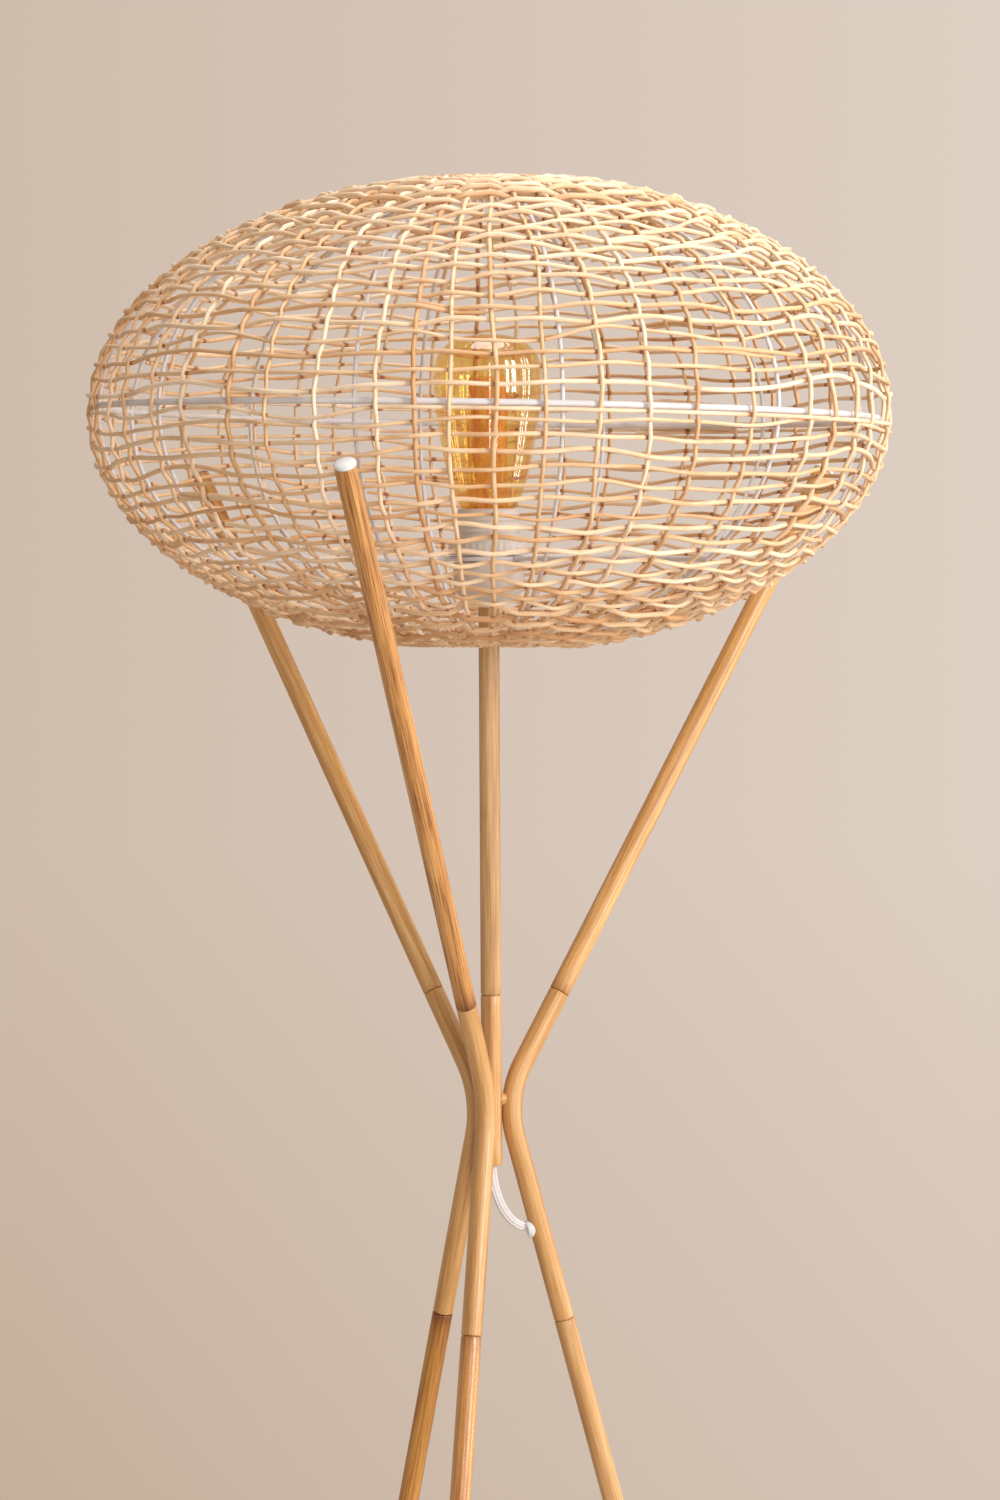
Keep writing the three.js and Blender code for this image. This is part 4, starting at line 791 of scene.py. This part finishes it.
# Weave: stakes run from rim to rim, and rows go round over and under them
RIM_RADIUS = 55 * MM
WEAVE_DEPTH = 2.4 * MM
STRAND = circle(6)
STAKES = 49
STAKE_RADIUS = 1.38 * MM
STAKE_BOW = 1.05 * MM
STAKE_WANDER = 1.6 * MM
FAR_STAKE_STRAY = 1.1
ROW_RADIUS = 1.42 * MM
ROW_SPACING = 10.2 * MM
ROW_FROM_RIM = 8 * MM
LEAST_GAP = 2.7 * MM
OVER = 1.6 * MM
FULL_OVER_SPACING = 15 * MM
PAIRED_ROWS = 9
PAIRED_OVER = 2.1 * MM
PAIRED_SWELL = 1.18
STEP_SHARES = np.array([0, 0.06, 0.18, 0.34, 0.5, 0.66, 0.8, 0.9, 0.95])
STEPS_EACH = len(STEP_SHARES)
BULGE = 2.4 * MM
RING_TILT = math.radians(1.2)
RING_CLEARANCE = 3.6 * MM

# How far rows stray: many rows together, one row over a long stretch, one row over a short one, and in depth
SHARED_DRIFTS = 13
DRIFT = 2.6 * MM
WANDER = 1.9 * MM
TREMOR = 0.2 * MM
UNEVEN = 0.3 * MM

# Where the ends of a row's strand overlap: its length in steps, how far apart they lie and how deep they go
LAP_STEPS = (6, 14)
LAP_APART = 1.35 * MM
LAP_TUCK = 3.0 * MM

# Spread of the strands' tone, and how much of it the lowest rows lose, as painted shade on the underside of
# the shade
TONE_SPREAD = (2.4, 1.8)
LOW_ROWS_SHARE = 0.3
LOW_ROWS_PAINTED_SHADE = 0.3

# Stakes on the near side, in degrees from the front to the right; the others are spread evenly
NEAR_STAKES = [-45.6, -37.3, -30.9, -23.7, -15.0, -9.8, -5.0, 0.9, 7.6, 15.1, 22.0]
NEAR_STAKES += [29.3, 38.0, 49.1, 55.3, 62.2, 68.7, 79.8]
# Joins of rows seen on the near side: height above the middle and degrees to the right
NEAR_JOINS = [(31 * MM, 34), (53 * MM, -7), (97 * MM, 24)]

rim_angle = math.acos(RIM_RADIUS / SHADE_RADIUS)
half_height = SHADE_HALF_HEIGHT / math.sin(rim_angle)
outline_angles = np.linspace(-rim_angle, rim_angle, 4001)
outline_steps = np.hypot(SHADE_RADIUS * np.sin(outline_angles), half_height * np.cos(outline_angles))
outline_lengths = np.concatenate([[0], ((outline_steps[1:] + outline_steps[:-1]) / 2).cumsum()])
outline_lengths *= outline_angles[1] - outline_angles[0]
OUTLINE_LENGTH = outline_lengths[-1]


def on_shade(length, azimuth, depth):
    """The point at a length up the outline, an azimuth and a depth inside it."""
    angle = np.interp(length, outline_lengths, outline_angles)
    normal = np.stack([np.cos(angle) * half_height, np.sin(angle) * SHADE_RADIUS])
    normal = normal / np.linalg.norm(normal, axis=0)
    radius = SHADE_RADIUS * np.cos(angle) - depth * normal[0]
    height = SHADE_Z + half_height * np.sin(angle) - depth * normal[1]
    return polar(radius, azimuth, height)


def waves(rng, azimuth, turns, size):
    """Smooth closed noise round the shade."""
    total = np.zeros_like(azimuth)
    for turn in turns:
        total += rng.normal() * np.cos(turn * azimuth + rng.uniform(0, TURN)) / math.sqrt(len(turns))
    return total * size


def bulge(azimuth):
    """The weave stands out a little more on the right."""
    return BULGE * np.maximum(0, np.cos(azimuth)) ** 3


def stake_azimuths(rng):
    far = np.linspace(NEAR_STAKES[-1], NEAR_STAKES[0] + 360, STAKES - len(NEAR_STAKES) + 2)[1:-1]
    far = far + rng.uniform(-FAR_STAKE_STRAY, FAR_STAKE_STRAY, len(far))
    return np.radians(np.concatenate([NEAR_STAKES, far]) - 90)


def between_stakes(stakes):
    """Azimuths of the steps of a row, a fixed number from each stake to the next."""
    closed = np.append(stakes, stakes[0] + TURN)
    places = np.arange(STAKES)[:, None] + STEP_SHARES
    return np.interp(places.ravel(), np.arange(STAKES + 1), closed)


def row_places(rng, azimuth, count):
    """The height of each row up the outline: rows wander together, touch in places and never cross."""
    shared = [waves(rng, azimuth, range(2, 11), 1.0) for _ in range(SHARED_DRIFTS)]
    base = np.linspace(ROW_FROM_RIM, OUTLINE_LENGTH - ROW_FROM_RIM, count)
    rows = []
    for index, middle in enumerate(base):
        place = index / (count - 1) * (SHARED_DRIFTS - 1)
        low = min(int(place), SHARED_DRIFTS - 2)
        drift = shared[low] * (1 - place + low) + shared[low + 1] * (place - low)
        own = waves(rng, azimuth, range(3, 15), WANDER) + waves(rng, azimuth, range(15, 36), TREMOR)
        row = middle + drift * DRIFT + own
        rows.append(row if not rows else np.maximum(row, rows[-1] + LEAST_GAP))
    over = np.maximum(rows[-1] - (OUTLINE_LENGTH - ROW_FROM_RIM + 2 * MM), 0)
    return [row - over * (index / (count - 1)) ** 4 for index, row in enumerate(rows)]


def clear_of_ring(row, azimuth):
    """Rows keep off the height of the wire ring inside the shade."""
    ring = OUTLINE_LENGTH / 2 - SHADE_RADIUS * np.cos(azimuth) * math.tan(RING_TILT)
    away = row - ring
    side = 1 if away.mean() > 0 else -1
    return ring + side * np.hypot(np.maximum(side * away, 0), RING_CLEARANCE)


def is_paired(row, count):
    """Near both rims the rows go over and under the stakes two by two."""
    return (row < PAIRED_ROWS) | (row >= count - PAIRED_ROWS)


def row_sign(row, stake, count):
    """One where a row is outside a stake, minus one where it is inside."""
    return 1 - 2 * ((row + np.where(is_paired(row, count), stake // 2, stake)) % 2)


def woven_row(rng, skin, row, count, place, azimuth, seam):
    """One strand round the shade, its ends overlapping at the seam and tucked inside."""
    paired = is_paired(row, count)
    steps = len(azimuth)
    lap = rng.integers(*LAP_STEPS)
    index = np.arange(seam - lap, seam + steps + lap + 1)
    turn = azimuth[index % steps] + index // steps * TURN
    length = place[index % steps]
    stake, step = index // STEPS_EACH % STAKES, index % STEPS_EACH
    share = (1 - np.cos(math.pi * STEP_SHARES[step])) / 2
    signs = row_sign(row, np.arange(STAKES), count)
    before, after = signs[stake], signs[(stake + 1) % STAKES]
    over = before * (1 - share) + after * share
    spacing = np.linalg.norm(on_shade(length, turn, 0)[:, :2], axis=1) * TURN / STAKES
    reach = (PAIRED_OVER if paired else OVER) * np.minimum(1, spacing / FULL_OVER_SPACING)
    depth = WEAVE_DEPTH - reach * over - bulge(turn) + waves(rng, turn, range(3, 30), UNEVEN)
    from_start = np.arange(len(index)) / (2 * lap)
    from_end = from_start[::-1]
    apart = LAP_APART * (np.clip(1.4 - from_start, 0, 1) - np.clip(1.4 - from_end, 0, 1))
    tuck = LAP_TUCK * (np.clip(1 - from_start * 2.5, 0, 1) + np.clip(1 - from_end * 2.5, 0, 1))
    line = on_shade(length + apart, turn, depth + tuck)
    # Painted shade where the row goes under a stake: at that stake, and at the step before the next stake it
    # goes under.
    soil = (step == 0) * (before < 0) + 0.8 * (step == STEPS_EACH - 1) * (after < 0)
    radius = ROW_RADIUS * rng.uniform(0.84, 1.14) * (PAIRED_SWELL if paired else 1)
    # Painted shade: the lowest rows get a deeper tone.
    lowness = max(0, 1 - row / (LOW_ROWS_SHARE * count))
    tone = rng.beta(*TONE_SPREAD) + 0.04 - LOW_ROWS_PAINTED_SHADE * lowness
    skin.sweep(line, STRAND, radius, tone=tone, soil=soil)


def near_seams(rows, azimuth):
    """The rows nearest to the joins on the near side, and the step where each is."""
    heights = [on_shade(row, azimuth, 0)[:, 2] - SHADE_Z for row in rows]
    seams = {}
    for height, degrees in NEAR_JOINS:
        step = np.abs(azimuth - math.radians(degrees - 90)).argmin()
        row = np.argmin([abs(at[step] - height) for at in heights])
        seams[int(row)] = int(step)
    return seams


def make_weave():
    rng = np.random.default_rng(SEED)
    skin = Skin()
    stakes = stake_azimuths(rng)
    azimuth = between_stakes(stakes)
    count = round((OUTLINE_LENGTH - 2 * ROW_FROM_RIM) / ROW_SPACING) + 1
    rows = [clear_of_ring(row, azimuth) for row in row_places(rng, azimuth, count)]
    seams = near_seams(rows, azimuth)
    far_start, far_steps = len(NEAR_STAKES) * STEPS_EACH, (STAKES - len(NEAR_STAKES)) * STEPS_EACH
    for index, place in enumerate(rows):
        seam = seams.get(index, far_start + int(rng.integers(0, far_steps)))
        woven_row(rng, skin, index, count, place, azimuth, seam)
    lengths = np.linspace(0, OUTLINE_LENGTH, 4 * count + 1)
    for stake in range(STAKES):
        crossings = np.array([row[stake * STEPS_EACH] for row in rows])
        bow = np.interp(lengths, crossings, row_sign(np.arange(count), stake, count) * STAKE_BOW)
        wander = waves(rng, lengths / OUTLINE_LENGTH * TURN, range(1, 7), STAKE_WANDER) / SHADE_RADIUS
        line = on_shade(lengths, stakes[stake] + wander, WEAVE_DEPTH + bow - bulge(stakes[stake]))
        radius = STAKE_RADIUS * rng.uniform(0.88, 1.12)
        skin.sweep(line, STRAND, radius, tone=rng.beta(*TONE_SPREAD))
    weave_rims(rng, skin)
    skin.piece("shade_weave", CANE, "rattan", ["woven_shade"], crease=75)


# Rims: close rows, and a strand wound round the rim wire
RIM_ROWS = 3
RIM_ROW_INSET = 1.4 * MM
RIM_ROW_SPACING = 2.7 * MM
RIM_TURNS, RIM_TURN_STEPS = 76, 12
RIM_INSET, RIM_INSET_SWING = 3.4 * MM, 3.6 * MM
RIM_DEPTH, RIM_DEPTH_SWING = 4.9 * MM, 4.2 * MM
RIM_STRAND = 0.95 * MM


def weave_rims(rng, skin):
    azimuth = round_angles(240)
    for end in (0, 1):
        for index in range(RIM_ROWS):
            inset = RIM_ROW_INSET + RIM_ROW_SPACING * index
            length = np.full(len(azimuth), OUTLINE_LENGTH - inset if end else inset)
            depth = WEAVE_DEPTH + waves(rng, azimuth, range(3, 20), UNEVEN) - 1.0 * MM * (index % 2)
            line = on_shade(length + waves(rng, azimuth, range(3, 12), UNEVEN), azimuth, depth)
            skin.sweep(line, STRAND, ROW_RADIUS, tone=rng.beta(2, 2), loop=True)
        winding = np.arange(RIM_TURNS * RIM_TURN_STEPS) / RIM_TURN_STEPS * TURN
        inset = RIM_INSET + RIM_INSET_SWING * np.cos(winding)
        length = OUTLINE_LENGTH - inset if end else inset
        line = on_shade(length, winding / RIM_TURNS, RIM_DEPTH + RIM_DEPTH_SWING * np.sin(winding))
        skin.sweep(line, STRAND, RIM_STRAND, tone=0.6, loop=True)


make_weave()

# Wire frame of the shade
RIB_COUNT = 12
RIB_RADIUS = 1.3 * MM
RIB_DEPTH = 7.2 * MM
RIB_INSET = 4 * MM
RING_RADIUS = 2 * MM
RING_DEPTH = 6.6 * MM
RIM_WIRE = 1.9 * MM
SPIDER_WIRE = 1.7 * MM
SPIDER_RING = 21.8 * MM
FIRST_RIB = math.radians(71)
SPIDER_RIBS = (0, 4, 8)
# The ribs stray from even spacing by these degrees
RIB_STRAYS = [0, 0, 0, 0, -1, -3.9, 0.8, -0.9, 3.3, 4, 1, 0]


def rib_azimuth(rib):
    return FIRST_RIB + rib / RIB_COUNT * TURN + math.radians(RIB_STRAYS[rib])


def level_ring(skin, radius, height, wire, tilt=0.0):
    azimuth = round_angles(180)
    line = polar(radius, azimuth, height - radius * np.cos(azimuth) * math.tan(tilt))
    skin.sweep(line, circle(12), wire, loop=True)


def make_frame_wires():
    skin = Skin()
    lengths = np.linspace(RIB_INSET, OUTLINE_LENGTH - RIB_INSET, 80)
    for rib in range(RIB_COUNT):
        skin.sweep(on_shade(lengths, rib_azimuth(rib), RIB_DEPTH), circle(10), RIB_RADIUS)
    level_ring(skin, SHADE_RADIUS - RING_DEPTH, SHADE_Z, RING_RADIUS, RING_TILT)
    for end in (RIB_INSET, OUTLINE_LENGTH - RIB_INSET):
        rim = on_shade(np.array(end), 0.0, RIB_DEPTH)
        level_ring(skin, rim[0], rim[2], RIM_WIRE)
    skin.piece("frame_wires", WIRE, "white_wire", ["shade_frame"])


def make_spider():
    """A ring on the holder and three arms out to the ribs."""
    height = sum(heights_of("shade_spider")) / 2
    skin = Skin()
    level_ring(skin, SPIDER_RING, height, SPIDER_WIRE)
    for rib in SPIDER_RIBS:
        inner = on_shade(np.linspace(0, OUTLINE_LENGTH / 2, 400), rib_azimuth(rib), RIB_DEPTH)
        end = inner[np.abs(inner[:, 2] - height).argmin()] * [1, 1, 0]
        arm = np.linspace(unit(end) * SPIDER_RING, end, 20) + UP * height
        skin.sweep(arm, circle(12), SPIDER_WIRE)
    skin.piece("spider_wires", WIRE, "white_wire", ["shade_spider"])


make_frame_wires()
make_spider()

# Lampholder and retaining ring, as (radius, height) in millimetres
CUP_PROFILE = [(5.5, 0.4), (6.0, 0), (13.2, 0), (14, 0.4), (21.6, 7.6), (22, 8.4), (22, 25.2), (21.5, 25.7)]
CUP_PROFILE += [(20.2, 25.7)]
CUP_MOUTH = [(19.8, -3)]
SKIRT_FOOT, SKIRT_TOP, SKIRT_BORE = [(18.9, 9)], [(19.2, -0.5), (18.6, 0), (17.9, -0.4)], [(17.9, 9)]
RING_PROFILE = [(20.3, 0), (24.4, 0), (25, 0.6), (25, 7.2), (24.4, 8), (20.6, 8), (20.3, 7.6), (20.3, 0.02)]
RING_SIDES = 144
RING_GRIP_SHARE = 0.018
THREAD_RADIUS, THREAD_DEPTH = 18.9 * MM, 0.75 * MM
THREAD_TURNS = 9


def thread(low, high):
    """Rounded rings up the side of the sleeve."""
    heights = np.linspace(low, high, THREAD_TURNS * 8 + 1)
    swell = (1 - np.cos((heights - low) / (high - low) * THREAD_TURNS * TURN)) / 2
    return [(THREAD_RADIUS + THREAD_DEPTH * s, h) for s, h in zip(swell, heights)]


def make_holder():
    low, high = heights_of("holder_cup")
    rim = heights_of("holder_skirt")[1]
    skin = Skin().lathe(in_mm(CUP_PROFILE, low) + in_mm(CUP_MOUTH, high))
    skin.piece("holder_body", SHADED_HOLDER, "white_plastic", ["holder_cup"])
    outside = in_mm(SKIRT_FOOT, low) + thread(high - 1 * MM, rim - 1.5 * MM)
    skin = Skin().lathe(outside + in_mm(SKIRT_TOP, rim) + in_mm(SKIRT_BORE, low))
    skin.piece("holder_sleeve", SHADED_HOLDER, "white_plastic", ["holder_skirt"])


def make_retaining_ring():
    """The ring that clamps the shade, its outside grooved all round for the fingers."""
    start = UP * heights_of("shade_retaining_ring")[0]
    skin = Skin().lathe(in_mm(RING_PROFILE), start, sides=RING_SIDES)
    points = skin.points[0].reshape(len(RING_PROFILE), RING_SIDES, 3)
    grip = 1 - RING_GRIP_SHARE * (np.arange(RING_SIDES) % 4 < 2)
    points[2:4, :, :2] *= grip[None, :, None]
    skin.piece("ring_grip", SHADED_HOLDER, "white_plastic", ["shade_retaining_ring"], "shade_ring")


make_holder()
make_retaining_ring()

# Bulb
BULB_RADIUS = 33.5 * MM
BULB_SIDES = 200
NECK_RADIUS = 12.2 * MM
NECK_IN_CAP = 6 * MM
FLUTES = 20
FLUTE_SHARE = 0.012
FLUTE_RISE = 12 * MM
RIPPLE = 0.09 * MM
RIPPLE_LENGTH = 4.6 * MM
RIPPLE_FADE = 16 * MM
RIPPLE_FULL_RADIUS = 20 * MM
# The glass above the cap, as shares of its radius and of its height
GLASS_SHARES = [(0.44, 0.08), (0.5, 0.135), (0.66, 0.22), (0.88, 0.475), (1, 0.745), (0.93, 0.89)]
GLASS_SHARES += [(0.62, 0.97)]
CROWN_SHARE = 0.3
CROWN_DROP = 0.9 * MM


def smooth_profile(knots, steps_each):
    """A smooth line through (radius, height) knots."""
    return smooth_line(np.column_stack([np.array(knots), np.zeros(len(knots))]), steps_each)[:, :2]


def bulb_outline():
    top, cap_top = heights_of("bulb_glass")[1], heights_of("bulb_cap")[1]
    knots = [(NECK_RADIUS, cap_top - NECK_IN_CAP), (NECK_RADIUS, cap_top - 1 * MM)]
    knots += [(wide * BULB_RADIUS, cap_top + high * (top - cap_top)) for wide, high in GLASS_SHARES]
    knots += [(CROWN_SHARE * BULB_RADIUS, top - CROWN_DROP), (0.0, top)]
    line = smooth_profile(knots, 14)
    line[:, 0] = np.maximum(line[:, 0], TIP * MM)
    return line, cap_top


def make_bulb():
    """Fluted glass, with uneven ripples that run round it."""
    line, cap_top = bulb_outline()
    reach, height = line[:, :1], line[:, 1:]
    azimuth = round_angles(BULB_SIDES)
    flute = np.abs(np.cos(azimuth * FLUTES / 2)) ** 0.7
    rise = np.clip((height - cap_top) / FLUTE_RISE, 0, 1)
    wander = 0.8 * np.cos(3 * azimuth) + 0.6 * np.sin(7 * azimuth + 1)
    ripples = RIPPLE * np.cos(height / RIPPLE_LENGTH * TURN + wander)
    ripples *= np.clip((height[-1] - height) / RIPPLE_FADE - 0.4, 0, 1)
    depth = 1 + FLUTE_SHARE * rise * (flute - 0.5)
    radius = reach * depth + ripples * rise * np.minimum(1, reach / RIPPLE_FULL_RADIUS)
    skin = Skin().grid(polar(radius, azimuth, height))
    skin.piece("bulb_fluted_glass", AMBER, "amber_glass", ["bulb_glass"], "bulb")


# Four filament sticks on a ring, inside a streaked sleeve on the glass stem
STICKS = 4
STICK_RADIUS, STICK_LEAD = 1.1 * MM, 0.4 * MM
STICK_FOOT, STICK_TOP = 5 * MM, 10 * MM
STICK_RING, STICK_RING_RISE = 0.6 * MM, 1.1 * MM
# Sleeve and stem, as (radius, height) in millimetres: feet from the stem's foot, the sleeve's top from the
# sticks' ends and the stem's top from its own end
SLEEVE_FOOT, SLEEVE_TOP = [(7, 6), (12.6, 9)], [(12.6, 2), (12.2, 4), (11, 5), (0.1, 5.8)]
STEM_FOOT, STEM_TOP = [(10.3, 0), (10.3, 1), (6, 9), (3.6, 19)], [(3.3, -4), (3.9, -1.5), (0.4, 0)]


def make_filament():
    low, high = heights_of("bulb_filament")
    skin = Skin()
    level_ring(skin, STICK_FOOT, low + STICK_RING_RISE, STICK_RING)
    for azimuth in round_angles(STICKS):
        out = np.array([math.cos(azimuth), math.sin(azimuth), 0.0])
        bottom = out * STICK_FOOT + UP * (low + STICK_RING_RISE)
        along = out * STICK_TOP + UP * (high - 0.5 * MM) - bottom
        skin.sweep(np.linspace(bottom, bottom + 0.12 * along, 6), circle(10), STICK_LEAD)
        skin.sweep(np.linspace(bottom + 0.1 * along, bottom + along, 24), circle(12), STICK_RADIUS)
    skin.piece("filament_sticks", STICK, "filament", ["bulb_filament"], "bulb")


def make_core():
    """The deep amber sleeve that shows round the filaments, and the glass stem that carries them."""
    low, high = heights_of("bulb_stem")
    foot, wall_low = in_mm(SLEEVE_FOOT, low)
    wall_high, *top = in_mm(SLEEVE_TOP, heights_of("bulb_filament")[1])
    skin = Skin().lathe([foot, *np.linspace(wall_low, wall_high, 12), *top])
    skin.piece("core_sleeve", CORE, "amber_glass", body="bulb")
    skin = Skin().lathe(smooth_profile(in_mm(STEM_FOOT, low) + in_mm(STEM_TOP, high), 8))
    skin.piece("glass_stem", CLEAR, "clear_glass", ["bulb_stem"], "bulb")


make_bulb()
make_filament()
make_core()

# Grommet on the right leg: radius and rise above the wood in millimetres, from its bore to its edge
GROMMET_STOPS = [(3.15, -2.5), (3.15, 1.1), (3.3, 1.6), (3.7, 1.9), (4.2, 1.9), (4.7, 1.5), (4.95, 0.8)]
GROMMET_STOPS += [(5, -0.3)]
GROMMET_BORE_END = 4
GROMMET_FLAT_RISE = 2.0
GROMMET_STRETCH = 1.15
GROMMET_SEAT = ROD_RADIUS + 0.1 * MM


def make_grommet():
    """A flange that follows the round wood at its edge and is flat at its mouth."""
    across = np.cross(inward, right_leg_line)
    rows = []
    for radius, rise in GROMMET_STOPS:
        reach = circle(40) * radius * MM
        saddle = np.sqrt(GROMMET_SEAT**2 - reach[:, 1] ** 2)
        share = max(0.0, 1 - rise / GROMMET_FLAT_RISE)
        height = saddle * share + GROMMET_SEAT * (1 - share) + rise * MM
        lean = math.tan(PORT_SLANT) * (height - ROD_RADIUS) * (radius < GROMMET_BORE_END)
        along = reach[:, :1] * GROMMET_STRETCH - lean[:, None]
        rows.append(entry + along * right_leg_line + reach[:, 1:] * across + height[:, None] * inward)
    skin = Skin().grid(np.array(rows), capped=False)
    skin.piece("grommet_flange", WHITE, "white_plastic", ["flex_grommet"])


# Strain relief: a taper with grooves
RELIEF_IN_LEG = 1.5 * MM
RELIEF_COLLAR, RELIEF_RADII = 6 * MM, [5.2 * MM, 5.2 * MM, 4.2 * MM]
RELIEF_BORE = [(3.3, 0), (3.2, -3)]
GROOVE_PITCH, GROOVE_DEPTH, GROOVE_SHIFT, GROOVE_LEVEL = 3.2 * MM, 0.8 * MM, 8 * MM, 0.35
GROOVES_FROM, GROOVES_END = 7 * MM, 2 * MM


def make_strain_relief():
    heights = np.linspace(-RELIEF_IN_LEG, RELIEF_LENGTH, 141)
    radii = np.interp(heights, [0, RELIEF_COLLAR, RELIEF_LENGTH], RELIEF_RADII)
    groove = np.cos((heights - GROOVE_SHIFT) / GROOVE_PITCH * TURN) > GROOVE_LEVEL
    groove &= (heights > GROOVES_FROM) & (heights < RELIEF_LENGTH - GROOVES_END)
    radii = np.where(groove, radii - GROOVE_DEPTH, radii)
    profile = [*zip(radii, heights), *in_mm(RELIEF_BORE, RELIEF_LENGTH)]
    skin = Skin().lathe(profile, exit_start, exit_direction)
    skin.piece("relief_sleeve", WHITE, "white_plastic", ["strain_relief"], crease=30)


make_grommet()
make_strain_relief()

# Stage
FLOOR_RADII = np.array([0.0005, 0.6, 1.2, 1.8, 2.4])
FLOOR_SIDES = 96
FLOOR_DROP = 0.2 * MM
FLOOR_FADE = (1.2, 2.3)
DAYLIGHT, WARM, PLAIN = (1.0, 0.98, 0.95), (1.0, 0.88, 0.74), (1.0, 1.0, 1.0)
# Each lamp's place, the height on the axis that it faces, its size, its watts and its colour
LIGHTS = {
    "key": ((2.2, -1.9, 2.0), 1.2, (0.6, 1.8), 78, DAYLIGHT),
    "strip": ((0.4, -2.47, 1.5), 1.35, (0.14, 2.1), 18, DAYLIGHT),
    "side": ((2.85, 0.15, 1.5), 1.3, (0.45, 2.4), 36, DAYLIGHT),
    "fill": ((-2.4, -1.6, 1.6), 1.0, (1.8, 1.8), 2.5, WARM),
    "top": ((0.2, 0.2, 3.2), 1.2, (1.6, 1.6), 30, PLAIN),
}


def make_lights():
    for name, (place, height, size, power, colour) in LIGHTS.items():
        data = bpy.data.lights.new(name, "AREA")
        data.shape = "RECTANGLE"
        data.size, data.size_y = size
        data.energy = power
        data.color = colour
        light = add(name, data)
        light.location = place
        facing = Vector((0, 0, height)) - Vector(place)
        light.rotation_euler = facing.to_track_quat("-Z", "Y").to_euler()
        light.visible_camera = False


def make_floor():
    """A pale round floor that fades out at its edge."""
    skin = Skin().grid(polar(FLOOR_RADII[:, None], round_angles(FLOOR_SIDES), -FLOOR_DROP), capped=False)
    mesh = bpy.data.meshes.new("floor")
    mesh.from_pydata(np.concatenate(skin.points).tolist(), [], skin.faces)
    look = Look("floor_paint", Roughness=0.85)
    place = look.place()
    cloud = look.noise(place, scale=3)
    look.link(look.ramp(cloud, (0.35, (206, 192, 178)), (0.65, (214, 201, 188))), "Base Color")
    distance = look.node("VectorMath", {0: place}, operation="LENGTH").outputs["Value"]
    fade = look.ranged(distance, *FLOOR_FADE, 0, 1, interpolation_type="SMOOTHSTEP")
    look.surface(fade, look.shader, look.node("BsdfTransparent"))
    mesh.materials.append(look.material)
    add("floor", mesh)


def make_world():
    """A wall for rays that see it, painted paler to the right and darker low down as light and shade falling
    on it; soft warm light for the rest.
    """
    world = bpy.data.worlds.new("studio")
    scene.world = world
    graph = Graph(world)
    rays = graph.node("LightPath").outputs
    seen = graph.maths("MAXIMUM", rays["Is Camera Ray"], rays["Is Transmission Ray"])
    seen = graph.maths("MAXIMUM", seen, rays["Is Glossy Ray"])
    direction = graph.node("SeparateXYZ", {0: graph.node("TexCoord").outputs["Generated"]}).outputs
    across = graph.ranged(direction["X"], -0.12, 0.12, 0.41, 1.0)
    low_down = graph.ranged(direction["Z"], -0.24, -0.08, -0.33, 0.0)
    fade = graph.maths("ADD", across, low_down)
    colour = graph.ramp(fade, (0.0, (194, 172, 150)), (0.41, (207, 188, 172)), (1.0, (222, 207, 195)))
    wall = graph.nodes["Background"]
    graph.links.new(colour, wall.inputs["Color"])
    soft = graph.node("Background", {"Color": (1.0, 0.87, 0.73, 1.0), "Strength": 0.39})
    graph.surface(seen, soft, wall)


make_world()
make_floor()
make_lights()

scene.view_settings.view_transform = "Standard"
